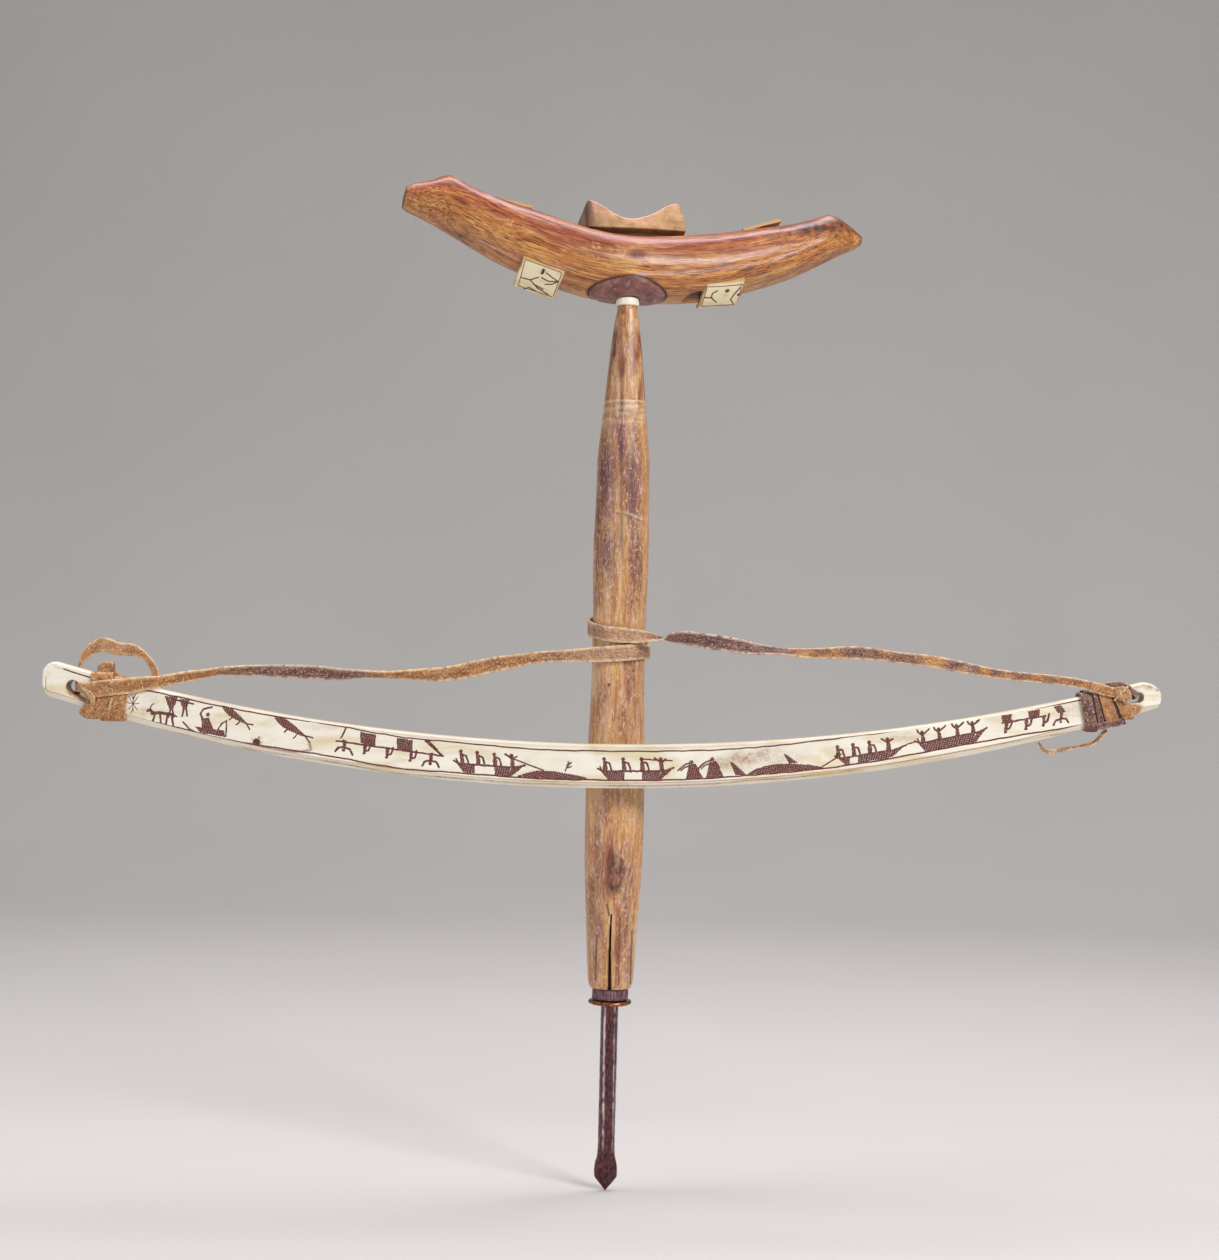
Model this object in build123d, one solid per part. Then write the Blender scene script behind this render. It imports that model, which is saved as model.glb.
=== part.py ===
from build123d import *
import math
import os

os.makedirs("parts", exist_ok=True)

# Bow drill: a wooden spindle with an iron spade bit, turned by a rawhide thong
# on an ivory bow and held down by a wooden mouthpiece with a stone socket.
# Millimetres. Origin at the point of the bit, +Z up the spindle, +X along the
# bow, -Y towards the engraved face of the bow.

# ---------------------------------------------------------------- dimensions
# spindle: height above the bit's point, radius
SPINDLE = [
    (76.0, 8.35), (80.0, 8.75), (84.0, 9.05), (90.0, 9.40), (98.0, 9.75),
    (104.0, 9.95), (110.0, 10.15), (117.0, 10.50), (131.0, 10.70), (150.0, 10.70),
    (162.0, 10.60), (172.0, 10.35), (181.0, 10.10), (190.0, 9.95), (203.0, 9.95),
    (216.0, 9.95), (225.0, 10.05), (233.0, 10.22), (244.0, 10.12), (252.0, 9.90),
    (266.0, 9.68), (278.0, 9.30), (285.0, 8.72), (291.0, 8.22), (297.0, 7.62),
    (303.0, 7.08), (309.0, 6.52), (315.0, 5.92), (321.0, 5.22), (327.0, 4.42),
    (330.0, 3.80), (331.8, 3.55),
]
SPINDLE_TOP = 331.8
SPINDLE_FOOT = 76.0
TANG_BORE_R, TANG_BORE_TOP = 2.5, 112.0
SPLIT_TOP, SPLIT_WIDE = 104.0, 1.3  # drying split in the lower end

PIVOT_TENON_R, PIVOT_TENON_LOW = 1.9, 319.0
PIVOT_CAP_R, PIVOT_CAP_TOP = 4.4, 334.9
PIVOT_NUB_R, PIVOT_NUB_TOP = 2.9, 340.2

BINDING_R, BINDING_LOW = 6.75, 71.4
RING_R, RING_LOW = 8.1, 69.8
BIT_R = 3.25
SPADE_W, SPADE_T = 8.6, 3.2

THONG_T = 1.2
TURN_IN_R = 10.25
TURN_W = 5.6
TURN_LOW_Z, TURN_PITCH = 201.6, 6.5

# bow: two arcs of circle, seen from the engraved side
BOW_FRONT_Y, BOW_BACK_Y = -23.0, -15.0
BOW_LOWER = (-14.35, 820.52, 668.85)
BOW_UPPER = (-11.65, 929.67, 761.84)
BOW_LEFT, BOW_RIGHT = -211.0, 199.1
WRAP_T = 1.1

# mouthpiece, in its own frame: u along it, v backwards, w up; it is rolled back
# so that its underside looks forwards
MOUTH_AT = (0.0, -3.0, 333.65)
MOUTH_YAW, MOUTH_ROLL = 14.0, -22.0
# u, mid height, half height, half depth
ARCH = [
    (-84.6, 37.9, 2.7, 3.6), (-82.2, 38.0, 4.2, 5.4), (-77.0, 37.6, 5.7, 7.7),
    (-69.4, 36.5, 8.7, 9.6), (-59.7, 32.3, 10.3, 10.8), (-47.4, 26.3, 11.3, 11.8),
    (-34.0, 21.2, 12.0, 12.6), (-18.0, 15.9, 12.0, 13.3), (4.0, 13.4, 11.6, 13.6),
    (24.2, 15.0, 12.0, 13.4), (39.0, 17.6, 12.0, 12.9), (52.0, 21.3, 11.2, 12.1),
    (65.6, 25.6, 10.1, 11.0), (76.0, 30.0, 9.3, 9.7), (81.0, 32.1, 8.6, 9.0),
    (86.0, 33.5, 7.2, 7.6), (90.0, 33.8, 5.6, 5.8), (93.5, 33.9, 4.2, 3.8),
    (96.2, 33.9, 2.4, 2.2),
]
STONE_U, STONE_V, STONE_DEEP = 14.8, 9.9, 10.0
STONE_PROUD = 0.5
SEAT_R, SEAT_TOP = 4.8, 335.35  # recess for the pivot's cap
CUP_R, CUP_TOP = 3.25, 340.5  # recess for the pivot's nub

BITE_D = 17.0  # depth of the bite block
# its outline seen from the front, u and w
BITE_LOW = [(23.0, 30.3), (22.6, 26.5), (4.7, 26.6), (-14.8, 25.7), (-14.2, 30.0), (-12.6, 36.5)]
BITE_TOP = [(-12.6, 36.5), (-10.6, 36.6), (-3.5, 33.2), (3.5, 31.4), (9.5, 32.8), (17.6, 37.3), (19.6, 37.9)]
NECK_L, NECK_R_, NECK_D = -11.5, 20.8, 7.6
TEETH_V, TEETH_W, TEETH_R = 6.4, 25.5, 2.6  # grooves for the teeth beside the neck

PLAQUE_T = 1.5


def save(shape, name):
    shape.label = name
    export_step(shape, f"parts/{name}.step")


def solid_of(shape):
    s = shape.solids()
    return s[0] if len(s) == 1 else Compound(children=list(s))


def box(x0, x1, y0, y1, z0, z1):
    b = Box(x1 - x0, y1 - y0, z1 - z0)
    return Pos((x0 + x1) / 2, (y0 + y1) / 2, (z0 + z1) / 2) * b


def prism_xz(points, y0, y1):
    """A prism between y0 and y1 over a polygon of x, z points."""
    pts = [(x, y0, z) for x, z in points]
    face = make_face(Polyline(*pts, close=True))
    return extrude(face, amount=y1 - y0, dir=(0, 1, 0))


def ribbon(stations, thick):
    """A strap through x, y, z of its middle with its height at each station."""
    sections = []
    for x, y, z, h in stations:
        p = Plane(origin=(x, y, z), x_dir=(0, 1, 0), z_dir=(1, 0, 0))
        sections.append(p * Rectangle(thick, h))
    return loft(sections, ruled=True)


# ------------------------------------------------------------------- spindle
def turned(points, low, high):
    """A solid turned about Z from z, r points, flat at both ends."""
    line = Spline(*[(r, 0, z) for z, r in points])
    edge = Polyline((points[-1][1], 0, high), (0, 0, high), (0, 0, low), (points[0][1], 0, low))
    return revolve(make_face([line, edge]), axis=Axis.Z, revolution_arc=360)


spindle = turned(SPINDLE, SPINDLE_FOOT, SPINDLE_TOP)
spindle -= Pos(0, 0, SPINDLE_FOOT) * Cylinder(
    TANG_BORE_R + 0.02, TANG_BORE_TOP - SPINDLE_FOOT,
    align=(Align.CENTER, Align.CENTER, Align.MIN))
spindle -= Pos(0, 0, PIVOT_TENON_LOW) * Cylinder(
    PIVOT_TENON_R + 0.02, 20, align=(Align.CENTER, Align.CENTER, Align.MIN))
spindle -= prism_xz(
    [(-SPLIT_WIDE / 2 - 0.6, SPINDLE_FOOT - 1), (SPLIT_WIDE / 2 - 0.6, SPINDLE_FOOT - 1),
     (-0.55, SPLIT_TOP), (-0.65, SPLIT_TOP)], -12, 0)

# -------------------------------------------------------------- ivory pivot
cap_low, cap_top = SPINDLE_TOP, PIVOT_CAP_TOP
HALF = math.sqrt(0.5)
pivot = revolve(make_face([
    Polyline((0, 0, PIVOT_TENON_LOW + 0.3), (PIVOT_TENON_R, 0, PIVOT_TENON_LOW + 0.3),
             (PIVOT_TENON_R, 0, cap_low), (PIVOT_CAP_R, 0, cap_low), (PIVOT_CAP_R, 0, cap_top - 0.6)),
    ThreePointArc((PIVOT_CAP_R, 0, cap_top - 0.6), (PIVOT_CAP_R - 0.18, 0, cap_top - 0.18),
                  (PIVOT_CAP_R - 0.6, 0, cap_top)),
    Polyline((PIVOT_CAP_R - 0.6, 0, cap_top), (PIVOT_NUB_R, 0, cap_top),
             (PIVOT_NUB_R, 0, PIVOT_NUB_TOP - PIVOT_NUB_R)),
    ThreePointArc((PIVOT_NUB_R, 0, PIVOT_NUB_TOP - PIVOT_NUB_R),
                  (PIVOT_NUB_R * HALF, 0, PIVOT_NUB_TOP - PIVOT_NUB_R * (1 - HALF)), (0, 0, PIVOT_NUB_TOP)),
    Line((0, 0, PIVOT_NUB_TOP), (0, 0, PIVOT_TENON_LOW + 0.3))]), axis=Axis.Z, revolution_arc=360)

# ----------------------------------------------- binding, brass ring and bit
hole = Pos(0, 0, 60) * Cylinder(BIT_R + 0.02, 40)
binding = Pos(0, 0, BINDING_LOW) * Cylinder(
    BINDING_R, SPINDLE_FOOT - BINDING_LOW, align=(Align.CENTER, Align.CENTER, Align.MIN))
binding = fillet(binding.edges().filter_by(GeomType.CIRCLE), 0.5) - hole
ring = Pos(0, 0, RING_LOW) * Cylinder(
    RING_R, BINDING_LOW - RING_LOW, align=(Align.CENTER, Align.CENTER, Align.MIN))
ring = fillet(ring.edges().filter_by(GeomType.CIRCLE), 0.7) - hole

bit = Pos(0, 0, 13) * Cylinder(
    BIT_R, SPINDLE_FOOT - 13, align=(Align.CENTER, Align.CENTER, Align.MIN))
bit += loft([Plane.XY.offset(SPINDLE_FOOT) * Rectangle(3.3, 3.3),
             Plane.XY.offset(TANG_BORE_TOP - 1.0) * Rectangle(2.0, 2.0)])
spade = loft([Plane.XY.offset(16.0) * Circle(BIT_R),
              Plane.XY.offset(9.0) * Ellipse(SPADE_W / 2, SPADE_T / 2)])
point = prism_xz([(-SPADE_W / 2, 9.0), (SPADE_W / 2, 9.0), (SPADE_W / 2, 5.2), (0, 0),
                  (-SPADE_W / 2, 5.2)], -SPADE_T / 2, SPADE_T / 2)
wedge = extrude(make_face(Polyline((0, -0.25, 0), (0, -SPADE_T / 2, 6.0), (0, -SPADE_T / 2, 9.0),
                                   (0, SPADE_T / 2, 9.0), (0, SPADE_T / 2, 6.0), (0, 0.25, 0),
                                   close=True)), amount=SPADE_W, both=True, dir=(1, 0, 0))
point = point & wedge
blank = Pos(0, 0, 0) * extrude(Ellipse(SPADE_W / 2 + 0.02, SPADE_T / 2 + 0.9), amount=9.0)
bit = bit + spade + (point & blank)

# --------------------------------------------------------------- thong turn
# the strap crosses the front of the spindle low, goes round by the right side
# and the back, and crosses the front again one width higher
mid_r = TURN_IN_R + THONG_T / 2
helix = Pos(0, 0, TURN_LOW_Z) * Rot(0, 0, -90) * Helix(pitch=TURN_PITCH, height=TURN_PITCH, radius=mid_r)
start = helix @ 0
section = Plane(origin=start, x_dir=(0, 1, 0), z_dir=helix % 0) * Rectangle(THONG_T, TURN_W)
turn = sweep(sections=section, path=helix, is_frenet=True)

run_y = -mid_r
left_run = ribbon([
    (-171.6, -24.35, 187.4, 5.4), (-160.0, -24.0, 187.9, 5.3), (-133.0, -21.6, 191.1, 5.0),
    (-108.0, -19.6, 190.9, 4.6), (-89.0, -18.1, 189.8, 4.8), (-65.0, -16.2, 192.4, 4.8),
    (-40.0, -14.1, 197.3, 5.2), (-18.0, -12.3, 199.9, 5.4), (-0.5, run_y, 201.5, 5.6)], THONG_T)
right_run = ribbon([
    (0.5, run_y, 208.0, 5.4), (8.0, -11.25, 207.9, 3.6), (14.0, -11.8, 208.2, 3.0),
    (28.0, -12.6, 207.6, 5.0), (43.0, -13.6, 205.6, 5.0), (60.0, -14.8, 202.2, 4.8),
    (80.0, -16.2, 203.2, 4.8), (96.0, -17.2, 203.6, 5.0), (118.0, -18.7, 200.5, 5.0),
    (144.0, -20.6, 196.3, 4.8), (166.0, -22.4, 193.8, 4.2)], THONG_T)


# ----------------------------------------------------------------------- bow
def bow_arc(circle, x, grow):
    cx, cz, r = circle
    r = r + grow
    return cz - math.sqrt(r * r - (x - cx) ** 2)


def bow_blank(g, y0, y1):
    """The bow's outline grown by g, between y0 and y1."""
    low = lambda x: bow_arc(BOW_LOWER, x, g)
    up = lambda x: bow_arc(BOW_UPPER, x, -g)
    xl, xr = BOW_LEFT, BOW_RIGHT
    edge = [
        ThreePointArc((xl + 5.5, y0, low(xl + 5.5)), (-8, y0, low(-8)), (xr - 6.5, y0, low(xr - 6.5))),
        ThreePointArc((xr - 6.5, y0, low(xr - 6.5)), (xr + g, y0, 189.9), (xr - 6.0, y0, up(xr - 6.0))),
        ThreePointArc((xr - 6.0, y0, up(xr - 6.0)), (-8, y0, up(-8)), (xl + 4.5, y0, up(xl + 4.5))),
        ThreePointArc((xl + 4.5, y0, up(xl + 4.5)), (xl + 1.3 - g, y0, up(xl + 5.5) - 1.3), (xl - g, y0, 189.0)),
        Line((xl - g, y0, 189.0), (xl - g, y0, 184.0)),
        ThreePointArc((xl - g, y0, 184.0), (xl + 1.7 - g, y0, low(xl + 5.5) + 1.7), (xl + 5.5, y0, low(xl + 5.5))),
    ]
    return extrude(make_face(edge), amount=y1 - y0, dir=(0, 1, 0))


def bevelled(blank, y0, y1, front_low, front_up, back):
    """Bevels on the bow's long lower and upper edges."""
    long_edges = [e for e in blank.edges() if e.length > 350]
    front = [e for e in long_edges if abs(e.center().Y - y0) < 0.01]
    rear = [e for e in long_edges if abs(e.center().Y - y1) < 0.01]
    front.sort(key=lambda e: (e @ 0.5).Z)
    blank = chamfer([front[0]], front_low)
    long_edges = [e for e in blank.edges() if e.length > 350]
    front = [e for e in long_edges if abs((e @ 0.5).Y - y0) < 0.01]
    front.sort(key=lambda e: (e @ 0.5).Z)
    blank = chamfer([front[-1]], front_up)
    long_edges = [e for e in blank.edges() if e.length > 350]
    rear = [e for e in long_edges if abs((e @ 0.5).Y - y1) < 0.01]
    return chamfer(rear, back)


bow = bevelled(bow_blank(0, BOW_FRONT_Y, BOW_BACK_Y), BOW_FRONT_Y, BOW_BACK_Y, 2.2, 0.8, 2.0)
# keyhole slot for the thong at the left end, oval hole at the right end
slot_a, slot_b = (-199.6, 184.3), (-194.2, 180.4)
bow -= Pos(slot_a[0], -19, slot_a[1]) * Rot(90, 0, 0) * Cylinder(2.2, 12)
dx, dz = slot_b[0] - slot_a[0], slot_b[1] - slot_a[1]
ln = math.hypot(dx, dz)
nx, nz = -dz / ln * 1.5, dx / ln * 1.5
bow -= prism_xz([(slot_a[0] + nx, slot_a[1] + nz), (slot_b[0] + nx, slot_b[1] + nz),
                 (slot_b[0] - nx, slot_b[1] - nz), (slot_a[0] - nx, slot_a[1] - nz)], -26, -12)
bow -= Pos(slot_b[0], -19, slot_b[1]) * Rot(90, 0, 0) * Cylinder(1.5, 12)
bow -= prism_xz([(188.0, 188.2), (190.6, 188.2), (190.6, 191.8), (188.0, 191.8)], -26, -12)
bow -= Pos(188.0, -19, 190.0) * Rot(90, 0, 0) * Cylinder(1.8, 12)
bow -= Pos(190.6, -19, 190.0) * Rot(90, 0, 0) * Cylinder(1.8, 12)

# ----------------------------------------------------- lashings on the bow
grown_l = bevelled(bow_blank(WRAP_T, BOW_FRONT_Y - WRAP_T, BOW_BACK_Y + 2.6),
                   BOW_FRONT_Y - WRAP_T, BOW_BACK_Y + 2.6, 2.6, 1.4, 2.6)
grown_r = bevelled(bow_blank(WRAP_T, BOW_FRONT_Y - WRAP_T, BOW_BACK_Y + WRAP_T),
                   BOW_FRONT_Y - WRAP_T, BOW_BACK_Y + WRAP_T, 2.6, 1.4, 2.4)

# rawhide loop: its two feet and the strip between them lie on the bow's back
loop_y0, loop_y1 = BOW_BACK_Y + 0.02, BOW_BACK_Y + 1.5
outer = Spline((-199.4, loop_y0, 191.5), (-197.2, loop_y0, 198.4), (-190.8, loop_y0, 202.2),
               (-182.6, loop_y0, 200.9), (-174.8, loop_y0, 197.2), (-170.4, loop_y0, 190.2))
inner = Spline((-174.2, loop_y0, 190.2), (-177.4, loop_y0, 195.6), (-184.6, loop_y0, 196.4),
               (-190.6, loop_y0, 197.4), (-194.2, loop_y0, 195.2), (-195.4, loop_y0, 191.5))
loop = extrude(make_face([
    outer,
    Polyline((-170.4, loop_y0, 190.2), (-171.0, loop_y0, 181.4), (-197.6, loop_y0, 181.4),
             (-199.4, loop_y0, 191.5)),
]), amount=loop_y1 - loop_y0, dir=(0, 1, 0))
loop -= extrude(make_face([
    inner,
    Polyline((-195.4, loop_y0, 191.5), (-194.6, loop_y0, 186.2), (-174.6, loop_y0, 186.2),
             (-174.2, loop_y0, 190.2)),
]), amount=loop_y1 - loop_y0, dir=(0, 1, 0))

wrap_outer = prism_xz([(-194.3, 200), (-184.7, 200), (-191.2, 165), (-195.8, 165)], -30, -5)
wrap_inner = prism_xz([(-184.5, 200), (-179.4, 200), (-180.3, 165), (-191.0, 165)], -30, -5)
wrap_outer = (wrap_outer & grown_l) - bow - loop
wrap_inner = (wrap_inner & grown_l) - bow - loop

end_face = BOW_FRONT_Y - WRAP_T - 0.02
left_end = prism_xz([(-172.0, 190.1), (-180.0, 188.8), (-191.0, 188.2), (-196.6, 185.6),
                     (-197.0, 183.2), (-193.6, 181.0), (-189.0, 181.6), (-180.0, 183.0),
                     (-172.0, 184.7)], end_face - THONG_T, end_face)
left_end += prism_xz([(-196.8, 184.9), (-194.9, 182.9), (-196.0, 181.7), (-198.0, 183.5)],
                     end_face - 0.2, BOW_BACK_Y + 0.0)
left_end = left_end - bow - wrap_outer - wrap_inner

tab = prism_xz([(-192.9, 186.0), (-187.2, 185.0), (-186.6, 192.0), (-188.0, 194.2),
                (-192.6, 193.4)], -21.4, -17.6)
tab = tab - bow - wrap_outer - wrap_inner

bands = [
    [(168.2, 203), (172.6, 203), (176.2, 165), (171.9, 165)],
    [(173.6, 203), (175.5, 203), (179.4, 165), (177.2, 165)],
    [(176.0, 203), (180.2, 203), (184.6, 165), (180.4, 165)],
    [(181.2, 203), (186.2, 203), (188.4, 165), (185.6, 165)],
]
lashing = [((prism_xz(b, -30, -5) & grown_r) - bow) for b in bands]
lashing = Compound(children=[s for b in lashing for s in b.solids()])

right_end = prism_xz([(166.4, 195.8), (174.9, 195.2), (181.4, 193.6), (181.4, 190.0),
                      (174.9, 191.2), (166.4, 191.8)], end_face - THONG_T, end_face)
knot = Pos(184.6, end_face - 1.35, 191.2) * fillet(
    Box(6.0, 2.7, 5.2).edges(), 1.1)
over = Spline((176.2, 0, 194.6), (180.0, 0, 196.6), (184.4, 0, 196.0), (187.8, 0, 192.6))
over_in = Spline((186.0, 0, 193.6), (183.6, 0, 195.2), (180.2, 0, 195.5), (177.0, 0, 194.0))
over_strap = extrude(make_face([
    over, Line((187.8, 0, 192.6), (186.0, 0, 193.6)), over_in,
    Line((177.0, 0, 194.0), (176.2, 0, 194.6))]), amount=4.4, dir=(0, -1, 0))
over_strap = Pos(0, -20.2, 0) * over_strap
over_plug = prism_xz([(187.4, 190.4), (189.2, 190.4), (189.2, 191.9), (187.4, 191.9)], end_face - 1.6, BOW_BACK_Y)
over_strap = (over_strap + over_plug + prism_xz([(186.2, 192.2), (188.8, 191.2), (188.8, 192.6), (187.3, 193.6)], end_face - 1.6, end_face)) - bow - lashing
over_strap = over_strap - knot
right_end = right_end - over_strap - knot - lashing - bow

tail = loft([
    Plane(origin=(178.6, -18.6, 177.0), x_dir=(0, 1, 0), z_dir=(-0.75, 0, -0.65)) * Rectangle(3.2, 0.9),
    Plane(origin=(172.2, -19.2, 171.6), x_dir=(0, 1, 0), z_dir=(-0.88, 0, -0.45)) * Rectangle(3.0, 0.9),
    Plane(origin=(163.4, -19.8, 169.8), x_dir=(0, 1, 0), z_dir=(-1, 0, -0.15)) * Rectangle(2.0, 0.9),
    Plane(origin=(157.9, -20.0, 169.3), x_dir=(0, 1, 0), z_dir=(-0.9, 0, 0.35)) * Rectangle(2.0, 0.9),
    Plane(origin=(154.0, -20.0, 172.4), x_dir=(0, 1, 0), z_dir=(-0.66, 0, 0.75)) * Rectangle(1.4, 0.8),
], ruled=True)
tail = tail - bow - lashing

# ---------------------------------------------------------------- mouthpiece
place = Pos(*MOUTH_AT) * Rot(0, 0, MOUTH_YAW) * Rot(MOUTH_ROLL, 0, 0)


def ring_points(mid, hh, hd, n=2.35, count=16):
    pts = []
    for k in range(count):
        a = 2 * math.pi * k / count
        c, s = math.cos(a), math.sin(a)
        pts.append((hd * math.copysign(abs(c) ** (2 / n), c),
                    mid + hh * math.copysign(abs(s) ** (2 / n), s)))
    return pts


def arch_body(grow=0.0, rows=None):
    sections = []
    for u, mid, hh, hd in rows or ARCH:
        pts = [(u, v, w) for v, w in ring_points(mid, hh + grow, hd + grow)]
        sections.append(make_face(Spline(*pts, periodic=True)))
    return loft(sections)


arch = arch_body()

# stone: an oval plug let into the underside, its face following the wood
oval = Pos(0, 0, -12) * extrude(Ellipse(STONE_U, STONE_V), amount=12 + STONE_DEEP)
pocket = Pos(0, 0, -12) * extrude(Ellipse(STONE_U + 0.1, STONE_V + 0.1), amount=12.1 + STONE_DEEP)
stone = oval & arch_body(STONE_PROUD, [s for s in ARCH if -60 < s[0] < 60])
arch -= pocket

# bite block: a saddle-topped grip on a neck, tenoned into the wood
low_line = [(u, 0, w) for u, w in [BITE_TOP[-1]] + BITE_LOW]
bite_face = make_face([Spline(*[(u, 0, w) for u, w in BITE_TOP]), Polyline(*low_line)])
bite = Pos(0, BITE_D / 2, 0) * extrude(bite_face, amount=BITE_D, dir=(0, -1, 0))
bite += box(NECK_L, NECK_R_, -NECK_D / 2, NECK_D / 2, 20.0, 27.4)
bite += box(-7.0, 11.0, -2.6, 2.6, 15.0, 21.0)
arch -= box(NECK_L - 0.1, NECK_R_ + 0.1, -NECK_D / 2 - 0.1, NECK_D / 2 + 0.1, 19.9, 45)
arch -= box(-7.1, 11.1, -2.7, 2.7, 14.9, 30)
arch -= box(-15.3, 23.5, -BITE_D / 2 - 0.4, BITE_D / 2 + 0.4, 25.3, 45)
for side in (-1, 1):
    arch -= Pos(4, side * TEETH_V, TEETH_W) * Rot(0, 90, 0) * Cylinder(TEETH_R, 42)


# plaques: thin plates, a little curled round the wood
def plate(wide, deep, thick, curve):
    """A plate across u and v, its back on w = 0, its middle curve lower."""
    a, t = wide / 2, -thick
    arc_back = ThreePointArc((-a, -deep / 2, 0), (-a, 0, -curve), (-a, deep / 2, 0))
    arc_face = ThreePointArc((-a, deep / 2, t), (-a, 0, t - curve), (-a, -deep / 2, t))
    sec = make_face([arc_back, Line((-a, deep / 2, 0), (-a, deep / 2, t)), arc_face,
                     Line((-a, -deep / 2, t), (-a, -deep / 2, 0))])
    return extrude(sec, amount=wide, dir=(1, 0, 0))


spots = {
    # middle of the back at u, v, w, slope along u, lean along v, width, depth, curl
    "under_plaque_left": ((-33.1, 1.4, 8.75), 18.0, -14.0, 16.4, 15.4, 0.8),
    "under_plaque_right": ((36.7, 0.4, 6.55), -9.3, -8.0, 15.6, 15.2, 1.0),
    "top_plaque_left": ((-43.6, -0.4, 35.2), 11.0, 0.0, 15.6, 11.0, 0.12),
    "top_plaque_right": ((54.6, -0.2, 33.15), -19.8, 0.0, 16.8, 11.0, 0.12),
}
plaques, pegs = {}, []
for name, (at, slope, lean, wide, deep, curl) in spots.items():
    loc = Pos(*at) * Rot(0, slope, 0) * Rot(lean, 0, 0)
    if name.startswith("top"):
        loc = loc * Rot(180, 0, 0)
    body = loc * plate(wide, deep, PLAQUE_T, curl)
    arch -= loc * (Pos(0, 0, 0.1) * plate(wide + 0.3, deep + 0.3, 12.0, curl))
    plaques[name] = (body, loc)

# two pegs in the right-hand lower plaque
body, loc = plaques["under_plaque_right"]
for a, b in [(1.6, -3.4), (7.0, -0.6)]:
    pegs.append(loc * (Pos(a, b, 1.4) * Cylinder(0.85, 8.8)))
    hole_ = loc * (Pos(a, b, 1.4) * Cylinder(0.87, 9.0))
    arch -= hole_
    body = body - hole_
plaques["under_plaque_right"] = (body, loc)

# an iron nail with its end curled over in the left-hand lower plaque
body, loc = plaques["under_plaque_left"]
nail_at = (0.6, -5.4)
nail_hole = loc * (Pos(nail_at[0], nail_at[1], 1.2) * Cylinder(0.62, 9.4))
arch -= nail_hole
plaques["under_plaque_left"] = (body - nail_hole, loc)
nail_line = Polyline((nail_at[0], nail_at[1], 5.8), (nail_at[0], nail_at[1], -2.9))
nail_bend = ThreePointArc((nail_at[0], nail_at[1], -2.9), (nail_at[0] - 0.25, nail_at[1] + 0.9, -3.8),
                          (nail_at[0] - 0.5, nail_at[1] + 2.1, -3.0))
nail = Pos(nail_at[0], nail_at[1], 1.3) * Cylinder(0.6, 9.0)
nail += sweep(sections=Plane(origin=nail_bend @ 0, z_dir=nail_bend % 0) * Circle(0.55), path=nail_bend)
nail = loc * nail

mouth = {"mouthpiece_arch": arch, "stone_socket": stone, "bite_block": bite}
for name in spots:
    mouth[name] = plaques[name][0]
mouth = {k: place * v for k, v in mouth.items()}
mouth["plaque_pegs"] = Compound(children=[place * s for p in pegs for s in p.solids()])
mouth["plaque_nail"] = place * nail

# the pivot's seat, square to the spindle
seat_cut = revolve(make_face([
    Polyline((0, 0, 322), (SEAT_R, 0, 322), (SEAT_R, 0, SEAT_TOP), (CUP_R, 0, SEAT_TOP),
             (CUP_R, 0, CUP_TOP - CUP_R)),
    ThreePointArc((CUP_R, 0, CUP_TOP - CUP_R), (CUP_R * HALF, 0, CUP_TOP - CUP_R * (1 - HALF)),
                  (0, 0, CUP_TOP)),
    Line((0, 0, CUP_TOP), (0, 0, 322))]), axis=Axis.Z, revolution_arc=360)
for k in ("stone_socket", "mouthpiece_arch"):
    mouth[k] = mouth[k] - seat_cut

# --------------------------------------------------------------------- write
nodes = {
    "spindle": spindle, "ivory_pivot": pivot, "bit_binding": binding, "brass_ring": ring,
    "iron_bit": bit, "thong_turn": turn, "thong_left_run": left_run,
    "thong_right_run": right_run, "bow": bow, "left_wrap_outer": wrap_outer,
    "left_wrap_inner": wrap_inner, "left_loop": loop, "left_tab": tab,
    "thong_left_end": left_end, "thong_right_end": right_end, "right_lashing": lashing,
    "right_knot": knot, "right_over_strap": over_strap, "right_tail": tail, **mouth,
}
for name, shape in nodes.items():
    save(solid_of(shape), name)
    print(f"{name}: {len(shape.solids())} solids, {sum(s.volume for s in shape.solids()):.1f} mm3")
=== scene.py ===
import math
import numpy as np
import bpy
import bmesh
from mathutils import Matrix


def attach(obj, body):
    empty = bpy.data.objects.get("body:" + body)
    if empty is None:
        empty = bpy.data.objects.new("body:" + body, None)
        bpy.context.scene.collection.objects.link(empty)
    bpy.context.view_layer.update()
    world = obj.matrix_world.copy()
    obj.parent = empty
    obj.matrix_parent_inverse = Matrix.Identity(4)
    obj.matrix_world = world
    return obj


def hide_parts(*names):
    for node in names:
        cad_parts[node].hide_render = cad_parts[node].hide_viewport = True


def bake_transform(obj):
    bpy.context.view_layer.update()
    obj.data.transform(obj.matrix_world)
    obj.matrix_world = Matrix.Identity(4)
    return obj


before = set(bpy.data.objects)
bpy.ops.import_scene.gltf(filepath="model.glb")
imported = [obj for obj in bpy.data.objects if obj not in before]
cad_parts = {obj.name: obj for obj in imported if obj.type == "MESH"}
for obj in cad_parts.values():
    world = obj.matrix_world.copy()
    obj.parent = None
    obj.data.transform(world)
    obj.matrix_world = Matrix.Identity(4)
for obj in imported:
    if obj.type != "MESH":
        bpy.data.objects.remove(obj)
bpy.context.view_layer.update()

MM = 0.001

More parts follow.
